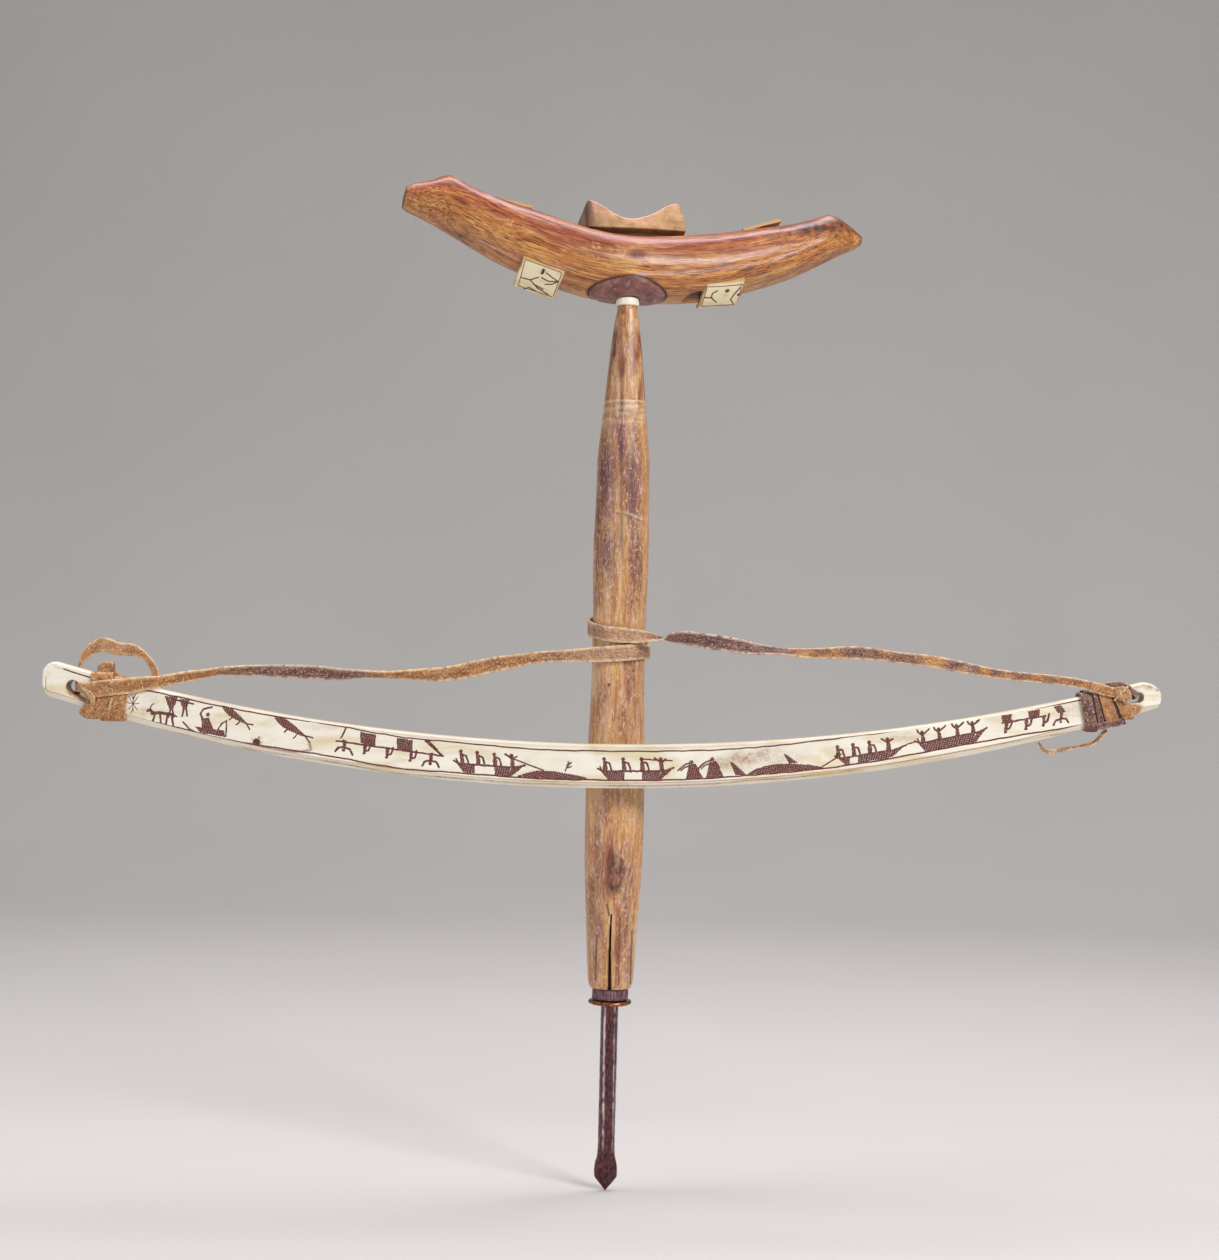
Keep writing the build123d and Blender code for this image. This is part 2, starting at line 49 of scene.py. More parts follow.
# ------------------------------------------------------------------ camera
RHO, TH = math.radians(1.451), math.radians(0.5)
CR = np.array([math.cos(RHO), 0.0, math.sin(RHO)])
U0 = np.array([-math.sin(RHO), 0.0, math.cos(RHO)])
D0 = np.array([0.0, 1.0, 0.0])
CD = D0 * math.cos(TH) + U0 * math.sin(TH)
CU = U0 * math.cos(TH) - D0 * math.sin(TH)
CPOS = np.array([-3.437, -883.496, 202.276])
FPX = 1260 / 2 / math.tan(math.radians(15))


def project(P):
    """Photo pixels of points in mm."""
    q = np.asarray(P, float) - CPOS
    z = q @ CD
    return 609.5 + FPX * (q @ CR) / z, 630 - FPX * (q @ CU) / z


def ray(px, py):
    v = CD + CR * (px - 609.5) / FPX + CU * (630 - py) / FPX
    return v / np.linalg.norm(v)


def at(px, py, y):
    """The point in mm where the ray of a photo pixel crosses that Y."""
    v = ray(px, py)
    t = (y - CPOS[1]) / v[1]
    return CPOS + t * v


cam = bpy.data.cameras.new("camera")
cam.sensor_fit = "VERTICAL"
cam.sensor_height = 36.0
cam.lens = 18.0 / math.tan(math.radians(15))
cam.clip_start, cam.clip_end = 0.01, 50
cam_ob = bpy.data.objects.new("camera", cam)
bpy.context.collection.objects.link(cam_ob)
from mathutils import Matrix, Vector
m = Matrix.Identity(4)
for k in range(3):
    m[k][0], m[k][1], m[k][2], m[k][3] = CR[k], CU[k], -CD[k], CPOS[k] * MM
cam_ob.matrix_world = m
bpy.context.scene.camera = cam_ob


# ------------------------------------------------------------------- noise
def vnoise(P, scale, seed=0):
    """Smooth value noise in -1..1 at points in mm; scale is the cell size in mm."""
    q = np.asarray(P, float) / np.asarray(scale, float) + 37.1 * (seed + 1)
    i = np.floor(q).astype(np.int64)
    f = q - i
    f = f * f * (3 - 2 * f)

    def h(a, b, c):
        n = (a * 73856093) ^ (b * 19349663) ^ (c * 83492791) ^ (seed * 2654435761)
        n = (n ^ (n >> 13)) * 1274126177
        return ((n ^ (n >> 16)) & 0xFFFFFF) / 8388607.5 - 1.0
    out = 0.0
    for da in (0, 1):
        for db in (0, 1):
            for dc in (0, 1):
                w = (f[..., 0] if da else 1 - f[..., 0]) * (f[..., 1] if db else 1 - f[..., 1]) \
                    * (f[..., 2] if dc else 1 - f[..., 2])
                out = out + w * h(i[..., 0] + da, i[..., 1] + db, i[..., 2] + dc)
    return out


def fbm(P, scale, seed=0, octaves=3):
    s, a, out = np.asarray(scale, float), 1.0, 0.0
    for k in range(octaves):
        out = out + a * vnoise(P, s, seed + k * 11)
        s, a = s * 0.5, a * 0.5
    return out / (2 - 2 ** (1 - octaves))


def smooth(e0, e1, x):
    t = np.clip((np.asarray(x, float) - e0) / (e1 - e0), 0, 1)
    return t * t * (3 - 2 * t)


def interp(xs, ys, x):
    """Monotone cubic through the points."""
    xs, ys = np.asarray(xs, float), np.asarray(ys, float)
    h = np.diff(xs)
    d = np.diff(ys) / h
    mm = np.zeros_like(ys)
    for k in range(1, len(xs) - 1):
        if d[k - 1] * d[k] > 0:
            w1, w2 = 2 * h[k] + h[k - 1], h[k] + 2 * h[k - 1]
            mm[k] = (w1 + w2) / (w1 / d[k - 1] + w2 / d[k])
    mm[0], mm[-1] = d[0], d[-1]
    x = np.clip(np.asarray(x, float), xs[0], xs[-1])
    k = np.clip(np.searchsorted(xs, x) - 1, 0, len(h) - 1)
    t = (x - xs[k]) / h[k]
    return ((2 * t ** 3 - 3 * t ** 2 + 1) * ys[k] + (t ** 3 - 2 * t ** 2 + t) * h[k] * mm[k]
            + (-2 * t ** 3 + 3 * t ** 2) * ys[k + 1] + (t ** 3 - t ** 2) * h[k] * mm[k + 1])


def blob(px, py, cx, cy, rx, ry, ang=0.0, soft=0.5):
    """1 inside a soft ellipse in photo pixels, 0 outside."""
    a = math.radians(ang)
    dx, dy = px - cx, py - cy
    x = (dx * math.cos(a) + dy * math.sin(a)) / rx
    y = (-dx * math.sin(a) + dy * math.cos(a)) / ry
    return 1 - smooth(1 - soft, 1 + soft, np.hypot(x, y))


def seg_dist(px, py, a, b):
    ax, ay = a
    bx, by = b
    l2 = (bx - ax) ** 2 + (by - ay) ** 2 + 1e-9
    t = np.clip(((px - ax) * (bx - ax) + (py - ay) * (by - ay)) / l2, 0, 1)
    return np.hypot(px - ax - t * (bx - ax), py - ay - t * (by - ay))


def line_mask(px, py, pts, width, soft=0.6):
    d = np.full(np.shape(px), 1e9)
    for a, b in zip(pts[:-1], pts[1:]):
        d = np.minimum(d, seg_dist(px, py, a, b))
    return 1 - smooth(width / 2 - soft / 2, width / 2 + soft, d)


def poly_mask(px, py, pts):
    """1 inside a polygon."""
    inside = np.zeros(np.shape(px), bool)
    n = len(pts)
    for k in range(n):
        x1, y1 = pts[k]
        x2, y2 = pts[(k + 1) % n]
        c = ((y1 > py) != (y2 > py)) & (px < (x2 - x1) * (py - y1) / (y2 - y1 + 1e-12) + x1)
        inside ^= c
    return inside.astype(float)


# ------------------------------------------------------------------- meshes
def mesh_from(name, verts, faces, attrs=None, flat=False):
    """verts in mm. attrs: name -> array (n,) or (n, 3)."""
    me = bpy.data.meshes.new(name)
    me.from_pydata((np.asarray(verts, float) * MM).tolist(), [], faces)
    for k, v in (attrs or {}).items():
        v = np.asarray(v, np.float32)
        if v.ndim == 1:
            a = me.attributes.new(k, "FLOAT", "POINT")
            a.data.foreach_set("value", v)
        else:
            a = me.attributes.new(k, "FLOAT_VECTOR", "POINT")
            a.data.foreach_set("vector", v.ravel())
    me.update()
    me.polygons.foreach_set("use_smooth", [not flat] * len(me.polygons))
    ob = bpy.data.objects.new(name, me)
    bpy.context.collection.objects.link(ob)
    return ob


def grid_faces(nu, nv, wrap, base=0, flip=False):
    i, j = np.meshgrid(np.arange(nu - 1), np.arange(nv if wrap else nv - 1), indexing="ij")
    j2 = (j + 1) % nv
    f = np.stack([i * nv + j, i * nv + j2, (i + 1) * nv + j2, (i + 1) * nv + j], -1).reshape(-1, 4) + base
    if flip:
        f = f[:, ::-1]
    return f.tolist()


def tube(name, P, attrs=None, caps=(True, True), flip=False, closed=False, ngon=False):
    """A surface through rings P[nu, nv, 3], closed round each ring, with capped ends."""
    nu, nv, _ = P.shape
    V = P.reshape(-1, 3)
    F = grid_faces(nu, nv, True, flip=flip)
    A = {k: np.asarray(v).reshape(nu * nv, *np.shape(v)[2:]) for k, v in (attrs or {}).items()}
    if closed:
        for j in range(nv):
            j2 = (j + 1) % nv
            q = [(nu - 1) * nv + j, (nu - 1) * nv + j2, j2, j]
            F.append(q[::-1] if flip else q)
    elif ngon:
        F.append(list(range(nv)))
        F.append([(nu - 1) * nv + j for j in range(nv)][::-1])
    else:
        extra = []
        for end, on in ((0, caps[0]), (nu - 1, caps[1])):
            if not on:
                continue
            c = len(V) + len(extra)
            extra.append(P[end].mean(0))
            for k in A:
                A[k] = np.concatenate([A[k], np.asarray(A[k][end * nv:(end + 1) * nv]).mean(0)[None]])
            for j in range(nv):
                j2 = (j + 1) % nv
                t = [end * nv + j, c, end * nv + j2] if end == 0 else [end * nv + j, end * nv + j2, c]
                if end == 0:
                    t = [end * nv + j2, end * nv + j, c][::1]
                    t = [t[0], t[1], t[2]]
                F.append(t[::-1] if flip else t)
        if extra:
            V = np.concatenate([V, np.array(extra)])
    ob = mesh_from(name, V, F, A)
    fix_normals(ob)
    return ob


def fix_normals(ob):
    bm = bmesh.new()
    bm.from_mesh(ob.data)
    bmesh.ops.recalc_face_normals(bm, faces=bm.faces)
    bm.to_mesh(ob.data)
    bm.free()


def cut(ob, *cutters):
    """Boolean differences, applied, the cutters removed."""
    def run(solver):
        ob.modifiers.clear()
        for c in cutters:
            md = ob.modifiers.new("cut", "BOOLEAN")
            md.operation, md.object, md.solver = "DIFFERENCE", c, solver
        dg = bpy.context.evaluated_depsgraph_get()
        me = bpy.data.meshes.new_from_object(ob.evaluated_get(dg), preserve_all_data_layers=True, depsgraph=dg)
        ob.modifiers.clear()
        return me
    before = len(ob.data.vertices)
    me = run("MANIFOLD")
    if len(me.vertices) < 10 or len(me.vertices) == before:
        me = run("EXACT")
    old = ob.data
    ob.data = me
    bpy.data.meshes.remove(old)
    for c in cutters:
        d = c.data
        bpy.data.objects.remove(c)
        bpy.data.meshes.remove(d)


def set_attr(ob, name, values):
    me = ob.data
    a = me.attributes.get(name) or me.attributes.new(name, "FLOAT", "POINT")
    a.data.foreach_set("value", np.asarray(values, np.float32))


def get_co(ob):
    co = np.empty(len(ob.data.vertices) * 3, np.float32)
    ob.data.vertices.foreach_get("co", co)
    return co.reshape(-1, 3).astype(float) / MM


def sharpen(ob, deg):
    """Smooth shading except over edges sharper than this."""
    bpy.context.view_layer.objects.active = ob
    for p in ob.data.polygons:
        p.use_smooth = True
    bm = bmesh.new()
    bm.from_mesh(ob.data)
    lim = math.radians(deg)
    for e in bm.edges:
        if len(e.link_faces) == 2 and e.calc_face_angle(0) > lim:
            e.smooth = False
    bm.to_mesh(ob.data)
    bm.free()


def prism(name, pts, lo, hi, axis):
    """A prism over a polygon of 2-D points, between lo and hi along axis (mm)."""
    V = []
    for h in (lo, hi):
        for a, b in pts:
            p = {"x": (h, a, b), "y": (a, h, b), "z": (a, b, h)}[axis]
            V.append(p)
    n = len(pts)
    F = [list(range(n)), list(range(n, 2 * n))[::-1]]
    F += [[k, k + n, (k + 1) % n + n, (k + 1) % n] for k in range(n)]
    ob = mesh_from(name, V, F, flat=True)
    fix_normals(ob)
    return ob


def lathe_points(prof, n=64, z_axis=True):
    a = np.linspace(0, 2 * np.pi, n, endpoint=False)
    prof = np.asarray(prof, float)
    r, z = prof[:, 0][:, None], prof[:, 1][:, None]
    return np.stack([r * np.cos(a), r * np.sin(a), z + 0 * a], -1), a


def transform(ob, mat):
    ob.data.transform(mat)


# ---------------------------------------------------------------- materials
class Mat:
    def __init__(self, name, **consts):
        self.m = bpy.data.materials.new(name)
        self.m.use_nodes = True
        self.nt = self.m.node_tree
        self.nt.nodes.clear()
        self.out = self.nt.nodes.new("ShaderNodeOutputMaterial")
        self.b = self.nt.nodes.new("ShaderNodeBsdfPrincipled")
        self.nt.links.new(self.b.outputs[0], self.out.inputs[0])
        for k, v in consts.items():
            self.set(k.replace("_", " "), v)

    def set(self, key, v):
        self.put(self.b.inputs[key], v)

    def put(self, sock, v):
        if isinstance(v, bpy.types.NodeSocket):
            self.nt.links.new(v, sock)
        elif isinstance(v, (tuple, list)) and len(v) == 3 and sock.type == "RGBA":
            sock.default_value = (*v, 1.0)
        else:
            sock.default_value = v

    def n(self, kind, **kw):
        node = self.nt.nodes.new("ShaderNode" + kind)
        for k, v in kw.items():
            setattr(node, k, v)
        return node

    def attr(self, name, what="Fac"):
        node = self.n("Attribute", attribute_name=name)
        return node.outputs[what]

    def obj(self, scale=1000.0):
        """Row-frame coordinates in mm."""
        tc = self.n("TexCoord")
        vm = self.n("VectorMath", operation="SCALE")
        self.nt.links.new(tc.outputs["Object"], vm.inputs[0])
        vm.inputs["Scale"].default_value = scale
        return vm.outputs[0]

    def stretch(self, vec, s):
        vm = self.n("VectorMath", operation="MULTIPLY")
        self.put(vm.inputs[0], vec)
        vm.inputs[1].default_value = s
        return vm.outputs[0]

    def noise(self, vec, scale=1.0, detail=4.0, rough=0.55, dist=0.0, what="Fac"):
        t = self.n("TexNoise")
        self.put(t.inputs["Vector"], vec)
        t.inputs["Scale"].default_value = scale
        t.inputs["Detail"].default_value = detail
        t.inputs["Roughness"].default_value = rough
        t.inputs["Distortion"].default_value = dist
        return t.outputs[what]

    def voronoi(self, vec, scale=1.0, what="Distance", feature="F1", rnd=1.0):
        t = self.n("TexVoronoi", feature=feature)
        self.put(t.inputs["Vector"], vec)
        t.inputs["Scale"].default_value = scale
        t.inputs["Randomness"].default_value = rnd
        return t.outputs[what]

    def rng(self, v, a, b, c=0.0, d=1.0, kind="SMOOTHSTEP"):
        t = self.n("MapRange", interpolation_type=kind)
        self.put(t.inputs["Value"], v)
        for k, x in (("From Min", a), ("From Max", b), ("To Min", c), ("To Max", d)):
            self.put(t.inputs[k], x)
        return t.outputs["Result"]

    def math(self, op, a, b=0.0, clamp=False):
        t = self.n("Math", operation=op, use_clamp=clamp)
        self.put(t.inputs[0], a)
        self.put(t.inputs[1], b)
        return t.outputs[0]

    def mix(self, f, a, b, mode="MIX"):
        t = self.n("Mix", data_type="RGBA", blend_type=mode)
        self.put(t.inputs[0], f)
        self.put(t.inputs[6], a)
        self.put(t.inputs[7], b)
        return t.outputs[2]

    def ramp(self, f, stops):
        t = self.n("ValToRGB")
        self.put(t.inputs[0], f)
        el = t.color_ramp.elements
        while len(el) > 1:
            el.remove(el[-1])
        el[0].position, el[0].color = stops[0][0], (*stops[0][1], 1)
        for p, c in stops[1:]:
            e = el.new(p)
            e.color = (*c, 1)
        return t.outputs[0]

    def bump(self, h, strength=0.3, dist=0.0002, normal=None):
        t = self.n("Bump")
        self.put(t.inputs["Height"], h)
        t.inputs["Strength"].default_value = strength
        t.inputs["Distance"].default_value = dist
        if normal is not None:
            self.nt.links.new(normal, t.inputs["Normal"])
        self.nt.links.new(t.outputs[0], self.b.inputs["Normal"])
        return t.outputs[0]


def lin(r, g, b):
    f = lambda c: ((c / 255 + 0.055) / 1.055) ** 2.4 if c > 10 else c / 255 / 12.92
    return (f(r), f(g), f(b))


def dress(ob, mat):
    ob.data.materials.clear()
    ob.data.materials.append(mat.m if isinstance(mat, Mat) else mat)


# spindle: golden tan wood with purple-brown wear, grain along Z
wood_s = Mat("spindle_wood")
q = wood_s.attr("g", "Vector")
warp = wood_s.noise(wood_s.stretch(q, (0.12, 0.12, 0.06)), 1.0, 3, 0.5, what="Color")
qw = wood_s.n("VectorMath", operation="MULTIPLY_ADD")
wood_s.put(qw.inputs[0], warp)
qw.inputs[1].default_value = (2.2, 2.2, 6.0)
wood_s.put(qw.inputs[2], q)
qw = qw.outputs[0]
fine = wood_s.noise(wood_s.stretch(qw, (2.3, 2.3, 0.07)), 1.0, 6, 0.66, 0.2)
hair = wood_s.noise(wood_s.stretch(qw, (5.5, 5.5, 0.20)), 1.0, 4, 0.65)
band = wood_s.noise(wood_s.stretch(qw, (0.42, 0.42, 0.035)), 1.0, 5, 0.62, 0.8)
mott = wood_s.noise(wood_s.stretch(q, (0.34, 0.34, 0.16)), 1.0, 5, 0.66, 0.6)
flake_and_sheen = wood_s.noise(wood_s.stretch(q, (1.15, 1.15, 0.26)), 1.0, 5, 0.7, 0.4)
col = wood_s.ramp(band, [(0.30, lin(158, 102, 60)), (0.42, lin(188, 134, 84)), (0.54, lin(206, 160, 108)), (0.70, lin(222, 186, 138))])
speck = wood_s.noise(wood_s.stretch(q, (0.95, 0.95, 0.55)), 1.0, 6, 0.78, 0.6)
col = wood_s.mix(wood_s.rng(mott, 0.50, 0.66, 0, 0.62), col, lin(156, 100, 78))
col = wood_s.mix(wood_s.math("MULTIPLY", wood_s.attr("purple"), wood_s.rng(speck, 0.36, 0.52, 0.45, 1.0)), col, lin(92, 42, 66))
col = wood_s.mix(wood_s.math("MULTIPLY", wood_s.rng(speck, 0.49, 0.37, 0, 0.9), wood_s.rng(wood_s.attr("purple"), 0.08, 0.5, 0.35, 1.0)), col, lin(96, 38, 32))
col = wood_s.mix(wood_s.rng(speck, 0.54, 0.64, 0, 0.85), col, lin(232, 194, 128))
col = wood_s.mix(wood_s.rng(fine, 0.50, 0.34, 0, 0.42), col, lin(128, 74, 46))
col = wood_s.mix(wood_s.rng(fine, 0.56, 0.72, 0, 0.45), col, lin(232, 200, 154))
col = wood_s.mix(wood_s.rng(hair, 0.42, 0.28, 0, 0.5), col, lin(84, 42, 34))
# pale lilac flecks where the flake and mottle noises peak: a painted sheen (the flake noise also drives roughness and
# bump)
col = wood_s.mix(wood_s.math("MULTIPLY", wood_s.rng(flake_and_sheen, 0.53, 0.66, 0, 0.95), wood_s.rng(mott, 0.40, 0.56)), col, lin(218, 178, 186))
col = wood_s.mix(wood_s.math("MULTIPLY", wood_s.attr("red"), wood_s.rng(band, 0.62, 0.42, 0.45, 1.0)), col, lin(116, 40, 24))
col = wood_s.mix(wood_s.attr("pale"), col, lin(236, 216, 184))
col = wood_s.mix(wood_s.attr("dark"), col, lin(44, 14, 16))
wood_s.set("Base Color", col)
wood_s.set("Roughness", wood_s.rng(wood_s.math("ADD", flake_and_sheen, wood_s.attr("dark")), 0.35, 0.95, 0.27, 0.6))
wood_s.set("Coat Weight", 0.16)
wood_s.set("Coat Roughness", 0.18)
b1 = wood_s.bump(fine, 0.35, 0.00025)
b2 = wood_s.bump(hair, 0.4, 0.00012, b1)
b3 = wood_s.bump(flake_and_sheen, 0.35, 0.00025, b2)
wood_s.bump(speck, 0.4, 0.0002, b3)

# mouthpiece: reddish brown above, golden below; g = along, across, up in its own frame
wood_m = Mat("arch_wood")
q = wood_m.attr("g", "Vector")
warp = wood_m.noise(wood_m.stretch(q, (0.04, 0.12, 0.12)), 1.0, 3, 0.5, what="Color")
qw = wood_m.n("VectorMath", operation="MULTIPLY_ADD")
wood_m.put(qw.inputs[0], warp)
qw.inputs[1].default_value = (6.0, 2.4, 2.4)
wood_m.put(qw.inputs[2], q)
qw = qw.outputs[0]
fine = wood_m.noise(wood_m.stretch(qw, (0.06, 2.3, 2.3)), 1.0, 6, 0.66, 0.2)
hair = wood_m.noise(wood_m.stretch(qw, (0.16, 5.5, 5.5)), 1.0, 4, 0.65)
band = wood_m.noise(wood_m.stretch(qw, (0.03, 0.4, 0.4)), 1.0, 5, 0.6, 0.8)
mott = wood_m.noise(wood_m.stretch(q, (0.12, 0.3, 0.3)), 1.0, 5, 0.64, 0.5)
red = wood_m.ramp(band, [(0.3, lin(96, 34, 20)), (0.43, lin(140, 64, 32)), (0.55, lin(172, 92, 46)), (0.7, lin(196, 124, 68))])
gold = wood_m.ramp(band, [(0.3, lin(160, 92, 44)), (0.43, lin(190, 122, 60)), (0.55, lin(212, 150, 82)), (0.7, lin(228, 180, 112))])
lowf = wood_m.math("ADD", wood_m.attr("low"), wood_m.math("MULTIPLY", wood_m.math("SUBTRACT", mott, 0.5), 1.3), True)
col = wood_m.mix(lowf, red, gold)
col = wood_m.mix(wood_m.rng(fine, 0.54, 0.38, 0, 0.88), col, lin(84, 30, 18))
col = wood_m.mix(wood_m.rng(fine, 0.58, 0.74, 0, 0.5), col, lin(222, 168, 100))
col = wood_m.mix(wood_m.rng(hair, 0.48, 0.34, 0, 0.8), col, lin(66, 24, 16))
col = wood_m.mix(wood_m.rng(hair, 0.62, 0.76, 0, 0.45), col, lin(230, 184, 124))
col = wood_m.mix(wood_m.attr("green"), col, lin(42, 36, 20))
col = wood_m.mix(wood_m.attr("red"), col, lin(116, 42, 24))
# painted highlight: pale lilac streaks along the arch's edges
col = wood_m.mix(wood_m.math("MULTIPLY", wood_m.attr("painted_gloss_ridge"), wood_m.rng(fine, 0.38, 0.56, 0.45, 1.0)), col, lin(214, 178, 182))
col = wood_m.mix(wood_m.attr("pale"), col, lin(230, 192, 132))
col = wood_m.mix(wood_m.attr("dark"), col, lin(44, 10, 14))
wood_m.set("Base Color", col)
wood_m.set("Roughness", wood_m.rng(wood_m.math("ADD", fine, wood_m.attr("dark")), 0.3, 0.95, 0.28, 0.6))
wood_m.set("Coat Weight", 0.14)
wood_m.set("Coat Roughness", 0.16)
b1 = wood_m.bump(fine, 0.3, 0.0002)
wood_m.bump(hair, 0.35, 0.0001, b1)

# bite block
wood_b = Mat("block_wood")
q = wood_b.attr("g", "Vector")
fine = wood_b.noise(wood_b.stretch(q, (0.06, 1.3, 1.3)), 1.0, 5, 0.62, 0.3)
mott = wood_b.noise(q, 0.22, 4, 0.6, 0.5)
col = wood_b.ramp(mott, [(0.3, lin(140, 96, 52)), (0.5, lin(172, 130, 78)), (0.7, lin(200, 164, 108))])
col = wood_b.mix(wood_b.rng(fine, 0.50, 0.34, 0, 0.45), col, lin(124, 82, 44))
col = wood_b.mix(wood_b.rng(fine, 0.58, 0.72, 0, 0.5), col, lin(214, 178, 130))
# painted highlight on the block's top edge
col = wood_b.mix(wood_b.attr("painted_edge_highlight"), col, lin(222, 170, 160))
# dark: the darker left end, and painted shade at the block's foot
col = wood_b.mix(wood_b.attr("dark"), col, lin(70, 24, 18))
wood_b.set("Base Color", col)
wood_b.set("Roughness", wood_b.rng(fine, 0.3, 0.7, 0.38, 0.55))
wood_b.set("Coat Weight", 0.2)
wood_b.set("Coat Roughness", 0.3)
wood_b.bump(fine, 0.3, 0.00015)

# stone
stone_m = Mat("stone")
q = stone_m.obj()
grit = stone_m.noise(q, 2.2, 6, 0.65, 0.2)
cloud = stone_m.noise(q, 0.28, 4, 0.55, 0.6)
chip = stone_m.noise(q, 1.5, 5, 0.7)
col = stone_m.ramp(cloud, [(0.3, lin(98, 54, 48)), (0.5, lin(128, 82, 74)), (0.7, lin(158, 118, 110))])
col = stone_m.mix(stone_m.rng(grit, 0.5, 0.3, 0, 0.55), col, lin(62, 30, 30))
col = stone_m.mix(stone_m.rng(chip, 0.62, 0.74, 0, 0.55), col, lin(176, 148, 140))
# pale: painted highlights on the stone
col = stone_m.mix(stone_m.attr("pale"), col, lin(206, 186, 176))
# dark: painted shade on the stone's lower side and its dark rim
col = stone_m.mix(stone_m.attr("dark"), col, lin(48, 14, 20))
stone_m.set("Base Color", col)
stone_m.set("Roughness", stone_m.rng(grit, 0.3, 0.7, 0.3, 0.5))
stone_m.bump(grit, 0.25, 0.0002)


def ivory_material(name, light, warm, edge, ink=True):
    """Cream ivory: g = mm coordinates, ink = engraving, edge = yellowed rim."""
    mt = Mat(name)
    q = mt.attr("g", "Vector")
    fine = mt.noise(mt.stretch(q, (0.05, 1.2, 1.2)), 1.0, 5, 0.6, 0.2)
    cloud = mt.noise(mt.stretch(q, (0.05, 0.16, 0.16)), 1.0, 4, 0.55, 0.7)
    speck = mt.noise(q, 2.6, 4, 0.6)
    col = mt.ramp(cloud, [(0.3, warm), (0.48, light), (0.7, tuple(min(1, c * 1.06) for c in light))])
    col = mt.mix(mt.rng(fine, 0.46, 0.28, 0, 0.32), col, warm)
    col = mt.mix(mt.rng(speck, 0.36, 0.24, 0, 0.4), col, edge)
    grime = mt.noise(mt.stretch(q, (0.5, 1.5, 1.5)), 1.0, 5, 0.7)
    col = mt.mix(mt.rng(grime, 0.58, 0.74, 0, 0.35), col, warm)
    col = mt.mix(mt.attr("edge"), col, edge)
    spot = mt.noise(q, 1.3, 5, 0.75)
    col = mt.mix(mt.math("MULTIPLY", mt.attr("stain"), mt.rng(spot, 0.40, 0.58, 0.45, 1.0)), col, lin(140, 88, 44))
    if ink:
        body = mt.rng(mt.noise(q, 2.0, 3, 0.7), 0.34, 0.46, 0.70, 1.0)
        full = mt.rng(mt.attr("ink"), 0.12, 0.72)
        col = mt.mix(mt.math("MULTIPLY", full, body), col, lin(92, 32, 30))
    mt.set("Base Color", col)
    mt.set("Roughness", mt.rng(mt.math("ADD", fine, mt.attr("ink")), 0.3, 1.3, 0.34, 0.6))
    mt.set("Subsurface Weight", 0.03)
    mt.set("Subsurface Radius", (0.0012, 0.0008, 0.0004))
    mt.set("Coat Weight", 0.1)
    mt.set("Coat Roughness", 0.25)
    mt.bump(fine, 0.15, 0.0001)
    return mt


ivory_bow = ivory_material("bow_ivory", lin(231, 227, 213), lin(216, 203, 168), lin(186, 152, 98))
ivory_pl = ivory_material("plaque_ivory", lin(236, 225, 188), lin(218, 197, 146), lin(184, 142, 78))
ivory_pv = ivory_material("pivot_ivory", lin(232, 222, 206), lin(222, 206, 182), lin(200, 172, 134), ink=False)


def hide_material(name):
    """Dried rawhide. g = along, across, through (mm); warm 0 dark purple brown, 1 orange tan; light lifts it."""
    mt = Mat(name)
    q = mt.attr("g", "Vector")
    mott = mt.noise(mt.stretch(q, (0.22, 0.5, 0.5)), 1.0, 5, 0.62, 0.4)
    grit = mt.noise(mt.stretch(q, (0.8, 1.5, 1.5)), 1.2, 5, 0.75)
    pit = mt.noise(mt.stretch(q, (1.2, 1.7, 1.7)), 1.1, 4, 0.75)
    cold = mt.ramp(mott, [(0.34, lin(62, 30, 34)), (0.5, lin(98, 60, 56)), (0.66, lin(140, 100, 90))])
    hot = mt.ramp(mott, [(0.34, lin(132, 78, 40)), (0.5, lin(172, 116, 62)), (0.66, lin(200, 150, 94))])
    col = mt.mix(mt.attr("warm"), cold, hot)
    dk = mt.mix(mt.attr("warm"), lin(48, 22, 24), lin(96, 50, 28))
    lt = mt.mix(mt.attr("warm"), lin(204, 182, 168), lin(232, 202, 156))
    col = mt.mix(mt.attr("light"), col, lin(214, 176, 140))
    col = mt.mix(mt.rng(grit, 0.52, 0.34, 0, 0.8), col, dk)
    col = mt.mix(mt.rng(pit, 0.54, 0.63, 0, 0.85), col, lt)
    fleck = mt.noise(mt.stretch(q, (1.3, 1.6, 1.6)), 1.35, 4, 0.8)
    col = mt.mix(mt.rng(fleck, 0.48, 0.38, 0, 0.7), col, dk)
    col = mt.mix(mt.math("MULTIPLY", mt.attr("edge"), mt.rng(fleck, 0.36, 0.52, 0.55, 1.0)), col, lt)
    col = mt.mix(mt.attr("dark"), col, lin(40, 12, 14))
    mt.set("Base Color", col)
    mt.set("Roughness", mt.rng(grit, 0.3, 0.7, 0.36, 0.62))
    mt.set("Subsurface Weight", 0.03)
    mt.set("Subsurface Radius", (0.001, 0.0005, 0.0003))
    b1 = mt.bump(mott, 0.25, 0.0003)
    mt.bump(grit, 0.6, 0.00022, b1)
    return mt


hide = hide_material("rawhide")

collar_m = Mat("collar", Roughness=0.6)
q = collar_m.obj()
ang = collar_m.attr("ang")
ridge = collar_m.noise(collar_m.stretch(collar_m.attr("g", "Vector"), (1.0, 1.0, 0.12)), 2.2, 4, 0.6)
col = collar_m.ramp(ridge, [(0.32, lin(50, 26, 34)), (0.5, lin(96, 62, 72)), (0.68, lin(150, 118, 128))])
collar_m.set("Base Color", collar_m.mix(collar_m.rng(collar_m.noise(q, 0.6, 3), 0.5, 0.7, 0, 0.4), col, lin(120, 84, 70)))
collar_m.bump(ridge, 0.8, 0.0004)

